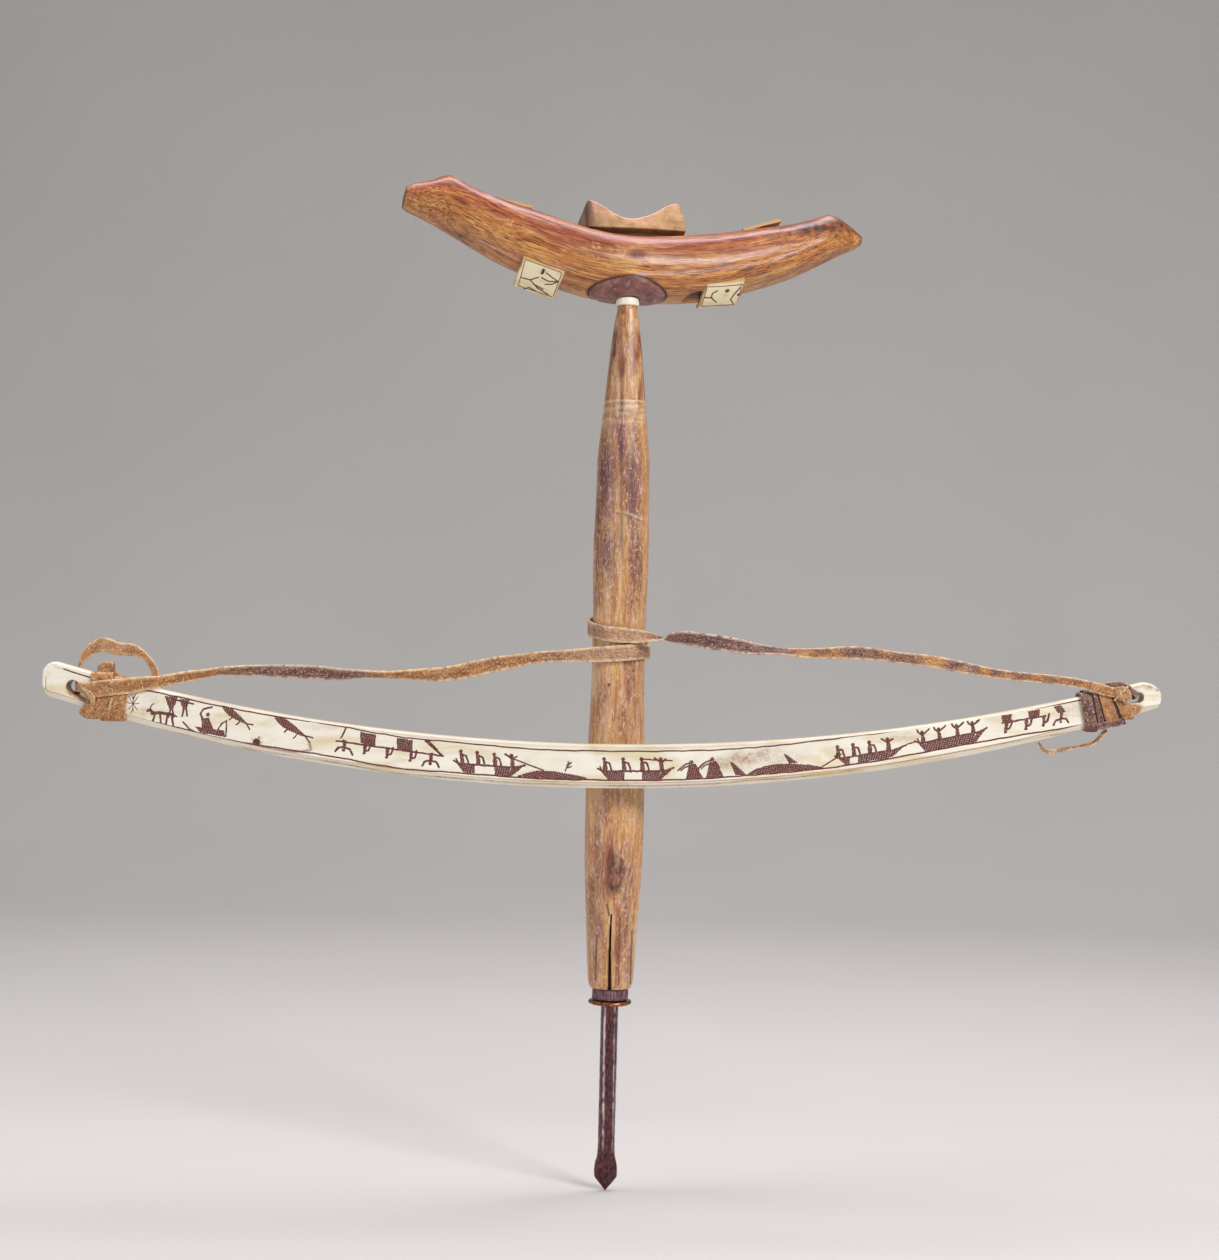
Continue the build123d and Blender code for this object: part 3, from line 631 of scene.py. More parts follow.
brass_m = Mat("brass", Metallic=1.0)
q = brass_m.obj()
tarn = brass_m.noise(q, 0.5, 5, 0.6, 0.5)
brass_m.set("Base Color", brass_m.ramp(tarn, [(0.35, lin(84, 42, 30)), (0.5, lin(142, 88, 58)), (0.68, lin(206, 154, 112))]))
brass_m.set("Roughness", brass_m.rng(tarn, 0.35, 0.65, 0.42, 0.2))
brass_m.bump(brass_m.noise(q, 2.5, 4), 0.2, 0.0002)

iron_m = Mat("iron", Metallic=0.9)
q = iron_m.obj()
pit = iron_m.noise(iron_m.stretch(q, (1, 1, 0.35)), 1.6, 6, 0.7, 0.3)
rust = iron_m.noise(q, 0.22, 4, 0.6, 0.6)
col = iron_m.ramp(rust, [(0.32, lin(50, 10, 18)), (0.52, lin(76, 18, 28)), (0.7, lin(106, 36, 44))])
col = iron_m.mix(iron_m.rng(pit, 0.60, 0.72, 0, 0.22), col, lin(180, 130, 134))
col = iron_m.mix(iron_m.rng(pit, 0.42, 0.28, 0, 0.45), col, lin(24, 6, 10))
# painted highlight stripes along the bit's shank
col = iron_m.mix(iron_m.attr("painted_highlight_stripes"), col, lin(232, 206, 208))
iron_m.set("Base Color", col)
iron_m.set("Roughness", iron_m.rng(pit, 0.3, 0.7, 0.38, 0.22))
iron_m.set("Coat Weight", iron_m.rng(pit, 0.42, 0.54, 0.25, 1.0))
iron_m.set("Coat Roughness", 0.2)
iron_m.set("Coat IOR", 1.65)
iron_m.bump(pit, 0.25, 0.00012)

peg_m = Mat("peg", Roughness=0.5)
q = peg_m.obj()
f = peg_m.noise(q, 2.2, 4, 0.6)
peg_m.set("Base Color", peg_m.ramp(f, [(0.35, lin(70, 26, 28)), (0.65, lin(140, 76, 56))]))
peg_m.bump(f, 0.4, 0.0001)

# ------------------------------------------------------------------ spindle
SP = [(76.0, 8.30), (80.0, 8.62), (84.0, 8.90), (90.0, 9.24), (98.0, 9.62), (104.0, 9.92),
      (110.0, 10.25), (117.0, 10.62), (124.0, 10.90), (131.0, 11.02), (140.0, 11.08), (150.0, 11.02), (162.0, 10.80),
      (172.0, 10.48), (181.0, 10.16), (190.0, 9.95), (203.0, 9.95), (216.0, 9.98),
      (225.0, 10.22), (233.0, 10.48), (244.0, 10.46), (252.0, 10.15), (266.0, 9.95), (273.0, 9.88),
      (278.0, 9.52), (285.0, 8.84), (291.0, 8.22), (297.0, 7.62), (303.0, 7.08),
      (309.0, 6.52), (315.0, 5.92), (321.0, 5.22), (327.0, 4.42), (330.0, 3.80), (331.75, 3.55)]
NZ, NA = 520, 180
zz = np.linspace(76.0, 331.75, NZ)
aa = np.linspace(0, 2 * np.pi, NA, endpoint=False)
Z, A = np.meshgrid(zz, aa, indexing="ij")
Rr = interp([p[0] for p in SP], [p[1] for p in SP], Z)
Pn = np.stack([Rr * np.cos(A), Rr * np.sin(A), Z], -1)
und = fbm(np.stack([10 * np.cos(A), 10 * np.sin(A), Z], -1), (7, 7, 34), 3, 3)
# whittled facets, strongest at the lower end
facet = np.abs(((A * 11 / (2 * np.pi) + 0.35 * np.sin(Z / 37.0)) % 1) - 0.5) * 2
lowend = smooth(122, 92, Z)
Rr = Rr + 0.10 * und * smooth(331, 318, Z) - 0.12 * facet * (0.35 + 0.9 * lowend) * smooth(330, 300, Z)
ring1 = np.exp(-((Z - 295.5 - 0.25 * np.cos(A + 0.6)) / 0.33) ** 2)
Rr = Rr - 0.16 * ring1
Rr = Rr - 0.7 * smooth(78.2, 76.0, Z) ** 2 * 0.6 + 0.25 * smooth(330.2, 331.75, Z)
# chipped, uneven foot
Rr = Rr - 0.35 * smooth(80, 76, Z) * (0.5 + 0.5 * vnoise(np.stack([8 * np.cos(A), 8 * np.sin(A), Z], -1), (2.2, 2.2, 3), 8))
P0 = np.stack([Rr * np.cos(A), Rr * np.sin(A), Z], -1)
px, py = project(P0)
front = smooth(-0.15, 0.25, -np.sin(A))
# drying split at the front
sw = interp([76, 84, 92, 100, 104.5], [0.68, 0.5, 0.32, 0.16, 0.02], np.clip(Z, 76, 104.5)) * (Z < 104.5)
sx = interp([76, 90, 104.5], [-0.3, -0.55, -0.35], Z)
xx = Rr * np.cos(A)
split = np.where((Z < 104.5) & (np.sin(A) < 0), 1 - smooth(sw * 0.7, sw * 1.25 + 0.12, np.abs(xx - sx)), 0)
Rr = Rr - 2.6 * split
crk = line_mask(px, py, [(607, 905), (609, 915)], 1.6) * front
dark = np.clip(split * 1.0 + crk * 0.8, 0, 1)
for y0, y1, xl in ((918, 985, 619), (930, 984, 631), (935, 980, 596)):
    dark = np.maximum(dark, 0.75 * line_mask(px, py, [(xl + 1, y0), (xl, (y0 + y1) / 2), (xl - 0.6, y1)], 1.1) * front)
dark = np.maximum(dark, 0.5 * line_mask(px, py, [(628, 558), (631, 566), (631.5, 576)], 0.8) * front)
dark = np.maximum(dark, 0.9 * blob(px, py, 609, 685, 1.6, 1.6, 0, 0.4) * front)
dark = np.maximum(dark, 0.45 * line_mask(px, py, [(615, 512.4), (628, 515.4), (642, 521.6)], 1.0) * front)
dark = np.maximum(dark, 0.35 * line_mask(px, py, [(594, 517.5), (604, 513), (614, 510.6)], 0.9) * front)
hollow = np.maximum(blob(px, py, 615.5, 873, 7, 21, 4, 0.6), blob(px, py, 611, 862, 4, 11, 0, 0.6)) * front
dark = np.maximum(dark, 0.78 * smooth(0.10, 0.75, hollow) * np.clip(0.60 + 0.9 * vnoise(P0, (1.0, 1.0, 3.2), 21), 0, 1))
Rr = Rr - 0.5 * hollow
streak = 0.0
for k, (x0, w, s) in enumerate(((622, 3.2, 0.6), (614, 2.0, 0.35), (632, 1.6, 0.3))):
    wob = 2.0 * vnoise(np.stack([0 * Z, 0 * Z, Z], -1), (1, 1, 16), 40 + k)
    g = np.exp(-((px - x0 - wob) / w) ** 2) * smooth(318, 336, py) * smooth(600, 540, py)
    streak = np.maximum(streak, s * g * (0.65 + 0.5 * vnoise(P0, (1.2, 1.2, 9), 50 + k)))
dark = np.clip(np.maximum(dark, streak * front), 0, 1)
wearn = fbm(P0, (5, 5, 26), 31, 3)
purple = np.clip(0.55 * smooth(0.05, 0.6, wearn) + 0.35 * smooth(330, 318, Z) * 0 + 0.5 * np.exp(-((Z - 255) / 26) ** 2) * smooth(-0.2, 0.5, wearn)
                 + 1.6 * hollow, 0, 1)
patch = 0.0
for cx, cy, rx, ry, k_ in ((606, 478, 8, 40, 0.95), (633, 480, 8, 44, 0.95), (622, 440, 4, 30, 0.8), (606, 548, 7, 26, 0.7), (636, 560, 6, 36, 0.8), (616, 545, 5, 22, 0.4), (598, 520, 4, 36, 0.7), (612, 340, 7, 26, 0.5), (630, 352, 4, 22, 0.3),
                            (618, 425, 4, 14, 0.5), (632, 600, 6, 14, 0.5), (598, 600, 5, 12, 0.4), (602, 700, 8, 18, 0.35), (628, 720, 10, 14, 0.35), (600, 870, 6, 26, 0.5), (628, 880, 5, 30, 0.55), (592, 900, 4, 30, 0.5),
                            (622, 930, 5, 20, 0.35), (596, 960, 6, 18, 0.4), (598, 840, 4, 34, 0.6), (626, 905, 5, 40, 0.6), (600, 925, 5, 22, 0.5), (628, 965, 5, 18, 0.5), (604, 812, 6, 16, 0.4), (630, 690, 6, 26, 0.4)):
    patch = np.maximum(patch, k_ * blob(px, py, cx, cy, rx, ry, 0, 0.9))
purple = np.clip(0.55 * purple + patch * front + 0.45 * (1 - front) * smooth(0.0, 0.6, wearn), 0, 1)
pale = 0.7 * ring1 + 0.35 * smooth(0.15, 0.62, fbm(P0, (4, 4, 18), 61, 3)) * smooth(120, 170, Z) * smooth(250, 190, Z)
pale = np.clip(pale, 0, 0.6)
wr = vnoise(np.stack([P0[..., 0], P0[..., 1], P0[..., 2]], -1), (5, 5, 0.8), 71)
pale = np.maximum(pale, 0.42 * smooth(403, 406, py) * smooth(432, 416, py) * smooth(-0.35, 0.5, wr) * front)
for x0, y0, x1, y1, k_ in ((604, 409, 618, 407, 0.4), (636, 446, 637, 462, 0.28), (600, 822, 603, 834, 0.25), (590, 860, 592, 878, 0.25), (603, 566, 607, 580, 0.3), (609, 488, 612, 500, 0.3)):
    pale = np.maximum(pale, k_ * line_mask(px, py, [(x0, y0), (x1, y1)], 0.8, 1.0) * front)
pale = np.maximum(pale, 0.75 * line_mask(px, py, [(615, 510.4), (628, 513.2), (642, 519.4)], 1.1, 0.9) * front * (0.75 + 0.4 * wr))
for k in range(46):
    rg = np.random.RandomState(300 + k)
    x0, y0, ln, an = rg.uniform(592, 646), rg.choice([rg.uniform(330, 600), rg.uniform(800, 975)]), rg.uniform(2, 7), math.radians(rg.choice([rg.uniform(60, 120), rg.uniform(-30, 30)]))
    pale = np.maximum(pale, rg.uniform(0.2, 0.5) * line_mask(px, py, [(x0, y0), (x0 + ln * math.cos(an), y0 + ln * math.sin(an))], 0.5, 0.7) * front)
SPM = np.stack([Rr * np.cos(A), Rr * np.sin(A), Z], -1)
spindle = tube("spindle_wood_body", SPM, {"g": SPM, "dark": dark, "purple": purple, "pale": pale})
redm = np.clip(0.75 * smooth(325, 318, Z) * 0 + 0.85 * smooth(286, 300, Z) * smooth(-0.35, 0.3, fbm(P0, (2.6, 2.6, 9), 67, 3)), 0, 1)
redm = np.maximum(redm, 0.8 * blob(px, py, 612, 868, 11, 30, 3, 0.7) * front * smooth(-0.5, 0.3, vnoise(P0, (2.5, 2.5, 7), 68)))
redm = np.maximum(redm, 0.7 * blob(px, py, 616, 955, 5, 34, 0, 0.7) * front)
set_attr(spindle, "red", np.concatenate([redm.ravel(), [0, 0.6]]))
dress(spindle, wood_s)
sharpen(spindle, 50)
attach(spindle, "drill")
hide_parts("spindle")

# ------------------------------------------- pivot, collar, ring, iron bit
prof = [(1.9, 319.4), (1.9, 331.6), (1.95, 331.85), (3.9, 331.86), (4.25, 332.0), (4.4, 332.4), (4.42, 333.4), (4.36, 334.4),
        (4.2, 334.75), (3.8, 334.9), (3.1, 334.95), (2.9, 335.2), (2.9, 337.3)]
prof += [(2.9 * math.cos(t), 337.3 + 2.9 * math.sin(t)) for t in np.linspace(0.15, 1.45, 10)]
PV, av = lathe_points(prof, 72)
PV = PV + 0.05 * vnoise(PV, (2, 2, 2), 5)[..., None] * np.array([1, 1, 0.3])
edge = 0.5 * smooth(332.3, 331.9, PV[..., 2])
pivot = tube("ivory_pivot_cap", PV, {"g": PV, "edge": edge, "stain": 0 * edge, "ink": 0 * edge})
dress(pivot, ivory_pv)
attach(pivot, "drill")
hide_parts("ivory_pivot")

prof = [(3.3, 71.5), (5.9, 71.45), (6.5, 71.7), (6.78, 72.3), (6.7, 73.1), (6.82, 74.0), (6.72, 74.9), (6.6, 75.5), (6.2, 75.9), (3.3, 75.98)]
d = np.linspace(0, 1, 10)
dense = []
for (r0, z0), (r1, z1) in zip(prof[:-1], prof[1:]):
    for t in np.linspace(0, 1, 4, endpoint=False):
        dense.append((r0 + (r1 - r0) * t, z0 + (z1 - z0) * t))
dense.append(prof[-1])
PB, ab = lathe_points(dense, 160)
rr = np.hypot(PB[..., 0], PB[..., 1])
ridge = 0.14 * vnoise(np.stack([6 * np.cos(ab) + 0 * rr, 6 * np.sin(ab) + 0 * rr, PB[..., 2]], -1), (0.55, 0.55, 5), 9)
ridge = ridge * smooth(4.5, 6.2, rr)
PB[..., 0] += ridge * np.cos(ab)
PB[..., 1] += ridge * np.sin(ab)
collar = tube("sinew_collar", PB, {"g": PB, "ang": np.broadcast_to(ab, rr.shape)})
dress(collar, collar_m)
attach(collar, "drill")
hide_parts("bit_binding")

prof = [(3.3, 69.95), (6.6, 69.86)] + [(7.35 + 0.75 * math.cos(t), 70.6 + 0.78 * math.sin(t)) for t in np.linspace(-1.5, 1.5, 14)] + [(6.6, 71.34), (3.3, 71.3)]
PR, ar = lathe_points(prof, 120)
PR[..., 2] += 0.10 * np.sin(2 * ar + 0.8) * smooth(4, 7, np.hypot(PR[..., 0], PR[..., 1])) * 0.6
ringo = tube("brass_ring_body", PR)
dress(ringo, brass_m)
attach(ringo, "drill")
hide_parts("brass_ring")

# bit: round shank that flattens into a small spade with a point
st = [  # z, half width x, half width y, squareness
    (0.0, 0.18, 0.22, 2.2), (0.9, 0.85, 0.34, 2.4), (2.4, 2.1, 0.62, 2.8), (4.2, 3.5, 0.98, 3.0), (5.3, 4.22, 1.22, 3.0), (6.2, 4.31, 1.4, 3.0),
    (9.0, 4.28, 1.6, 2.8), (10.6, 3.95, 1.9, 2.5), (13.0, 3.45, 2.6, 2.2), (16.0, 3.2, 3.1, 2.1), (20.0, 3.18, 3.2, 2.05),
    (40.0, 3.2, 3.2, 2.05), (60.0, 3.24, 3.24, 2.02), (69.5, 3.26, 3.26, 2.0), (75.9, 3.26, 3.26, 2.0)]
zb = np.concatenate([np.linspace(0, 20, 70), np.linspace(20.4, 75.9, 150)])
NB = 128
tb = np.linspace(0, 2 * np.pi, NB, endpoint=False)
hx = interp([s[0] for s in st], [s[1] for s in st], zb)[:, None]
hy = interp([s[0] for s in st], [s[2] for s in st], zb)[:, None]
ne = interp([s[0] for s in st], [s[3] for s in st], zb)[:, None]
cs, sn = np.cos(tb)[None], np.sin(tb)[None]
PI = np.stack([hx * np.sign(cs) * np.abs(cs) ** (2 / ne), hy * np.sign(sn) * np.abs(sn) ** (2 / ne), zb[:, None] + 0 * cs], -1)
n_ = 0.05 * fbm(PI, (1.6, 1.6, 4.5), 17, 3) + 0.035 * vnoise(PI, (0.8, 0.8, 1.2), 18)
PI[..., 0] *= 1 + n_ * 0.5
PI[..., 1] *= 1 + n_ * 0.5
azb = np.degrees(np.arctan2(PI[..., 1], PI[..., 0])) - 4.0 * np.sin(PI[..., 2] / 13.0)
# four lengthwise pale pink stripes on the shank: painted highlights, with a very slight bulge under them
painted_highlight_stripes = np.zeros(azb.shape)
for a0_, w_, k_ in ((-119, 8.0, 1.0), (-48, 5.5, 0.8), (38, 7.0, 0.9), (131, 6.5, 0.9)):
    painted_highlight_stripes = np.maximum(painted_highlight_stripes, k_ * np.exp(-(((azb - a0_ + 180) % 360 - 180) / w_) ** 2))
painted_highlight_stripes = painted_highlight_stripes * smooth(11, 20, PI[..., 2]) * np.clip(0.62 + 0.95 * vnoise(PI, (0.9, 0.9, 2.0), 19), 0, 1)
PI[..., :2] *= 1 + 0.016 * painted_highlight_stripes[..., None]
bit = tube("iron_bit_shank", PI, {"painted_highlight_stripes": painted_highlight_stripes})
dress(bit, iron_m)
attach(bit, "drill")
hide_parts("iron_bit")

# --------------------------------------------------------------- mouthpiece
AT = np.array([0.0, -3.0, 333.65])
YAW, ROLL = math.radians(14.0), math.radians(-22.0)
RZ = np.array([[math.cos(YAW), -math.sin(YAW), 0], [math.sin(YAW), math.cos(YAW), 0], [0, 0, 1]])
RX = np.array([[1, 0, 0], [0, math.cos(ROLL), -math.sin(ROLL)], [0, math.sin(ROLL), math.cos(ROLL)]])
RM = RZ @ RX


def M(P):
    """From the mouthpiece's own frame (u, v, w) to the row frame."""
    return np.asarray(P, float) @ RM.T + AT


def M_inv(P):
    return (np.asarray(P, float) - AT) @ RM


def solve(px, py, v=None, w=None):
    """u, v, w where a photo pixel's ray crosses that v or w."""
    k = 1 if v is not None else 2
    o, dr = M_inv(CPOS), ray(px, py) @ RM
    t = ((v if v is not None else w) - o[k]) / dr[k]
    return o + t * dr


AR = [(-84.6, 37.9, 2.7, 3.6), (-82.2, 38.0, 4.2, 5.4), (-77.0, 37.6, 5.7, 7.7), (-69.4, 36.5, 8.7, 9.6),
      (-59.7, 32.3, 10.3, 10.8), (-47.4, 26.3, 11.3, 11.8), (-34.0, 21.2, 12.0, 12.6), (-18.0, 15.9, 12.0, 13.3),
      (4.0, 13.4, 11.6, 13.6), (24.2, 15.0, 12.0, 13.4), (39.0, 17.6, 12.0, 12.9), (52.0, 21.3, 11.2, 12.1),
      (65.6, 25.6, 10.1, 11.0), (76.0, 30.0, 9.3, 9.7), (81.0, 32.1, 8.6, 9.0), (86.0, 33.5, 7.2, 7.6),
      (90.0, 33.8, 5.6, 5.8), (93.5, 33.9, 4.2, 3.8), (96.2, 33.9, 2.4, 2.2)]
AU = [r[0] for r in AR]


def natural(xs, ys):
    """A C2 cubic spline through the points, as a function."""
    xs, ys = np.asarray(xs, float), np.asarray(ys, float)
    n = len(xs)
    h = np.diff(xs)
    Am = np.zeros((n, n))
    rhs = np.zeros(n)
    Am[0, 0] = Am[-1, -1] = 1
    for k in range(1, n - 1):
        Am[k, k - 1], Am[k, k], Am[k, k + 1] = h[k - 1], 2 * (h[k - 1] + h[k]), h[k]
        rhs[k] = 6 * ((ys[k + 1] - ys[k]) / h[k] - (ys[k] - ys[k - 1]) / h[k - 1])
    mm = np.linalg.solve(Am, rhs)

    def f(x):
        x = np.clip(np.asarray(x, float), xs[0], xs[-1])
        k = np.clip(np.searchsorted(xs, x) - 1, 0, n - 2)
        a, b = xs[k + 1] - x, x - xs[k]
        return (mm[k] * a ** 3 + mm[k + 1] * b ** 3) / (6 * h[k]) + (ys[k] / h[k] - mm[k] * h[k] / 6) * a \
            + (ys[k + 1] / h[k] - mm[k + 1] * h[k] / 6) * b
    return f


A_mid, A_hh, A_hd = (natural(AU, [r[k] for r in AR]) for k in (1, 2, 3))
NEXP = 2.35


def under(u, v):
    """w of the arch's underside."""
    hd = A_hd(u)
    t = np.clip(np.abs(v) / hd, 0, 1)
    return A_mid(u) - A_hh(u) * (1 - t ** NEXP) ** (1 / NEXP)


NU, NR = 560, 150
ua = np.concatenate([-84.6 + 3 * np.linspace(0, 1, 20) ** 1.5, np.linspace(-81.5, 93, NU - 40), 93.2 + 3.0 * (1 - (1 - np.linspace(0, 1, 20)) ** 1.5)])
ta = np.linspace(0, 2 * np.pi, NR, endpoint=False)
UU, TT = np.meshgrid(ua, ta, indexing="ij")
c, s = np.cos(TT), np.sin(TT)
grow = 1.0 + 0.0 * UU
VV = A_hd(UU) * np.sign(c) * np.abs(c) ** (2 / NEXP)
WW = A_mid(UU) + A_hh(UU) * np.sign(s) * np.abs(s) ** (2 / NEXP)
L = np.stack([UU, VV, WW], -1)
nrm = np.stack([0 * UU, c, s], -1)
L = L + nrm * (0.16 * fbm(L, (16, 9, 9), 71, 3))[..., None]
# whittled facets
fa = np.abs(((TT * 9 / (2 * np.pi) + 0.5 * np.sin(UU / 31.0)) % 1) - 0.5) * 2
L = L - nrm * (0.10 * fa)[..., None]


# tips: a small peak, a flat whittled facet down to the end, the left end cut square
uw = lambda px_, py_, v_: solve(px_, py_, v=v_)[[0, 2]]
pk, e1, e2 = uw(449.5, 176.5, -4), uw(405.8, 188.1, -3), uw(404.3, 203.0, -3)
L[..., 2] += 1.9 * np.exp(-((UU - pk[0] - 0.5) / 4.2) ** 2) * np.clip(s, 0, 1) ** 0.5
LEFT_TIP = [e2 + 2 * (e2 - e1), e1, pk, pk + 0.5 * (pk - e1), (-80.0, 90.0), (-130.0, 90.0), (-130.0, 0.0)]
pr_, m1, p3 = uw(829, 215.8, -4), uw(842.5, 225.9, -3), uw(862.5, 238, -2)
L[..., 2] += 1.0 * np.exp(-((UU - pr_[0] + 0.3) / 3.4) ** 2) * np.clip(s, 0, 1) ** 0.5
RIGHT_TIP = [pr_ + 1.2 * (pr_ - m1), pr_, m1, p3, p3 + 1.5 * (p3 - m1), (140.0, 0.0), (140.0, 90.0), (80.0, 90.0)]
P = M(L)
px, py = project(P)
# the surface seen by the camera
tu = np.gradient(P, axis=0)
tv = np.gradient(P, axis=1)
nn = np.cross(tu, tv)
nn /= np.linalg.norm(nn, axis=-1, keepdims=True) + 1e-9
cen = P.mean(1, keepdims=True)
nn *= np.sign((nn * (P - cen)).sum(-1, keepdims=True))
facing = smooth(0.0, 0.35, -(nn @ CD))
sarc = np.concatenate([[0], np.cumsum(np.hypot(np.diff(ua), np.diff(A_mid(ua))))])[:, None] + 0 * UU
g = np.stack([sarc, L[..., 1], L[..., 2] - A_mid(UU)], -1)
hrel = (L[..., 2] - A_mid(UU)) / A_hh(UU)
low = smooth(0.25, -0.75, hrel + 0.25 * fbm(g, (22, 8, 8), 81, 3)) * 0.95
low = np.clip(low + 0.25 * smooth(60, 80, UU) * smooth(0.5, -0.3, hrel), 0, 1)
dark = np.zeros_like(UU)
redm = 0.9 * blob(px, py, 638, 254.5, 12, 5.0, 2, 0.7) * facing
redm = np.maximum(redm, 0.5 * blob(px, py, 740, 252, 14, 2.5, -8, 0.8) * facing)
redm = np.maximum(redm, 0.55 * smooth(0.9, 0.2, hrel) * smooth(-0.3, 0.3, hrel) * smooth(0.05, 0.5, fbm(g, (24, 5, 5), 77, 3)))
dark = np.maximum(dark, 0.35 * blob(px, py, 638, 255, 6, 3.0, 2, 0.8) * facing)
dark = np.maximum(dark, 0.5 * smooth(93.5, 95.8, UU))
pale = 0.42 * np.clip(blob(px, py, 636, 255, 22, 11, 2, 0.7) - blob(px, py, 637, 254, 12, 5, 2, 0.5), 0, 1) * facing * smooth(-0.5, 0.5, fbm(P, (2.4, 2.4, 1.2), 83, 3))
rs = np.random.RandomState(4)
for k in range(26):
    x0 = rs.uniform(500, 650)
    y0 = np.interp(x0, [500, 560, 650], [222, 242, 255]) + rs.uniform(-8, 12)
    an = math.radians(rs.choice([rs.uniform(-15, 30), rs.uniform(60, 120)], p=[0.75, 0.25]))
    ln = rs.uniform(2, 9)
    pale = np.maximum(pale, rs.uniform(0.25, 0.6) * line_mask(px, py, [(x0, y0), (x0 + ln * math.cos(an), y0 + ln * math.sin(an))], 0.5, 0.6) * facing)
for k in range(14):
    x0, y0 = rs.uniform(460, 820), 0
    y0 = np.interp(x0, [460, 560, 640, 820], [215, 262, 275, 245]) + rs.uniform(-10, 10)
    pale = np.maximum(pale, rs.uniform(0.2, 0.45) * line_mask(px, py, [(x0, y0), (x0 + rs.uniform(3, 12), y0 + rs.uniform(-1, 2))], 0.5, 0.6) * facing)
green = np.zeros_like(UU)
green = np.maximum(green, 0.95 * blob(px, py, 462, 241, 20, 6, 30, 0.9) * facing)
green = np.maximum(green, 1.0 * blob(px, py, 812, 227, 32, 6, -14, 0.9) * facing)
green = np.maximum(green, 0.9 * blob(px, py, 838, 226, 12, 7, 20, 0.9) * facing)
green = np.maximum(green, 0.4 * blob(px, py, 772, 236, 14, 4, -12, 0.8) * facing)
green = np.clip(green * (0.55 + 0.9 * vnoise(P, (1.5, 1.5, 1.5), 91)), 0, 1)
# back and underside get stains of their own
back = 1 - facing
green = np.maximum(green, 0.35 * back * smooth(0.25, 0.7, fbm(g, (26, 7, 7), 95, 3)))
dark = np.maximum(dark, 0.35 * smooth(0.3, 0.75, fbm(g, (12, 3, 3), 97, 3)))
# crack running from the socket
dark = np.maximum(dark, 0.55 * line_mask(px, py, [(640, 277), (652, 275.6), (664, 276.5), (671, 277.6)], 0.8) * facing)
# notch at the left of the right-hand plaque: a shallow recess pushed in, its darkness is painted shade
recess_and_painted_shade = poly_mask(px, py, [(679, 305), (684, 299), (692, 293), (700, 291.5), (706, 294), (702, 309), (690, 309)]) * facing
dark = np.maximum(dark, 0.92 * recess_and_painted_shade)
L = L + (M_inv(M(L) - nn * (1.6 * recess_and_painted_shade)[..., None]) - L)
# near the stone: dirt in the joint
uq, vq = L[..., 0], L[..., 1]
er = np.hypot(uq / 14.9, vq / 10.0)
isun = (L[..., 2] < A_mid(UU))
dark = np.maximum(dark, 0.75 * np.exp(-((er - 1.02) / 0.035) ** 2) * isun)
low = np.maximum(low, 0.9 * np.exp(-((er - 1.15) / 0.25) ** 2) * isun)
P = M(L)
# painted highlights: pale lilac streaks along the arch's edges, strongest on the lower right-hand ridge
painted_gloss = line_mask(px, py, [(636, 274.5), (668, 273), (700, 271), (740, 266.5), (770, 261), (800, 250), (822, 239.5)], 1.6, 2.4) * (0.6 + 0.5 * vnoise(P, (3.5, 3.5, 2), 93))
painted_gloss = np.maximum(painted_gloss, 0.5 * line_mask(px, py, [(470, 236), (500, 250), (540, 264), (566, 270)], 1.2, 2.4) * (0.5 + 0.6 * vnoise(P, (3.0, 3.0, 2), 94)))
painted_gloss = np.maximum(painted_gloss, 0.45 * line_mask(px, py, [(455, 176.8), (480, 190), (520, 212), (560, 228)], 1.2, 2.0) * (0.5 + 0.6 * vnoise(P, (3.0, 3.0, 2), 96)))
painted_gloss = np.clip(painted_gloss * facing, 0, 0.8)
arch = tube("arch_wood_body", P, {"g": g, "low": low, "dark": dark, "pale": pale, "green": green, "red": redm, "painted_gloss_ridge": painted_gloss})


def local_prism(name, pts, lo, hi, axis):
    ob = prism(name, pts, lo, hi, axis)
    co = get_co(ob)
    ob.data.vertices.foreach_set("co", (M(co) * MM).astype(np.float32).ravel())
    ob.data.update()
    return ob


def rect(a0, a1, b0, b1):
    return [(a0, b0), (a1, b0), (a1, b1), (a0, b1)]


el = [(15.0 * math.cos(t), 10.1 * math.sin(t)) for t in np.linspace(0, 2 * np.pi, 96, endpoint=False)]
cutters = [local_prism("c8", [tuple(p_) for p_ in LEFT_TIP], -20, 20, "y"),
           local_prism("c9", [tuple(p_) for p_ in RIGHT_TIP], -20, 20, "y"),
           local_prism("c1", el, -12, 10.2, "z"),
           local_prism("c2", rect(-15.4, 23.6, -9.0, 9.0), 25.3, 45, "z")]
for side in (-1, 1):
    cc = [(side * 6.4 + 2.6 * math.cos(t), 25.5 + 2.6 * math.sin(t)) for t in np.linspace(0, 2 * np.pi, 28, endpoint=False)]
    cutters.append(local_prism("c3", cc, -17, 25, "x"))
cutters.append(local_prism("c4", rect(-11.7, 21.0, -4.0, 4.0), 19.9, 30, "z"))
cut(arch, *cutters)
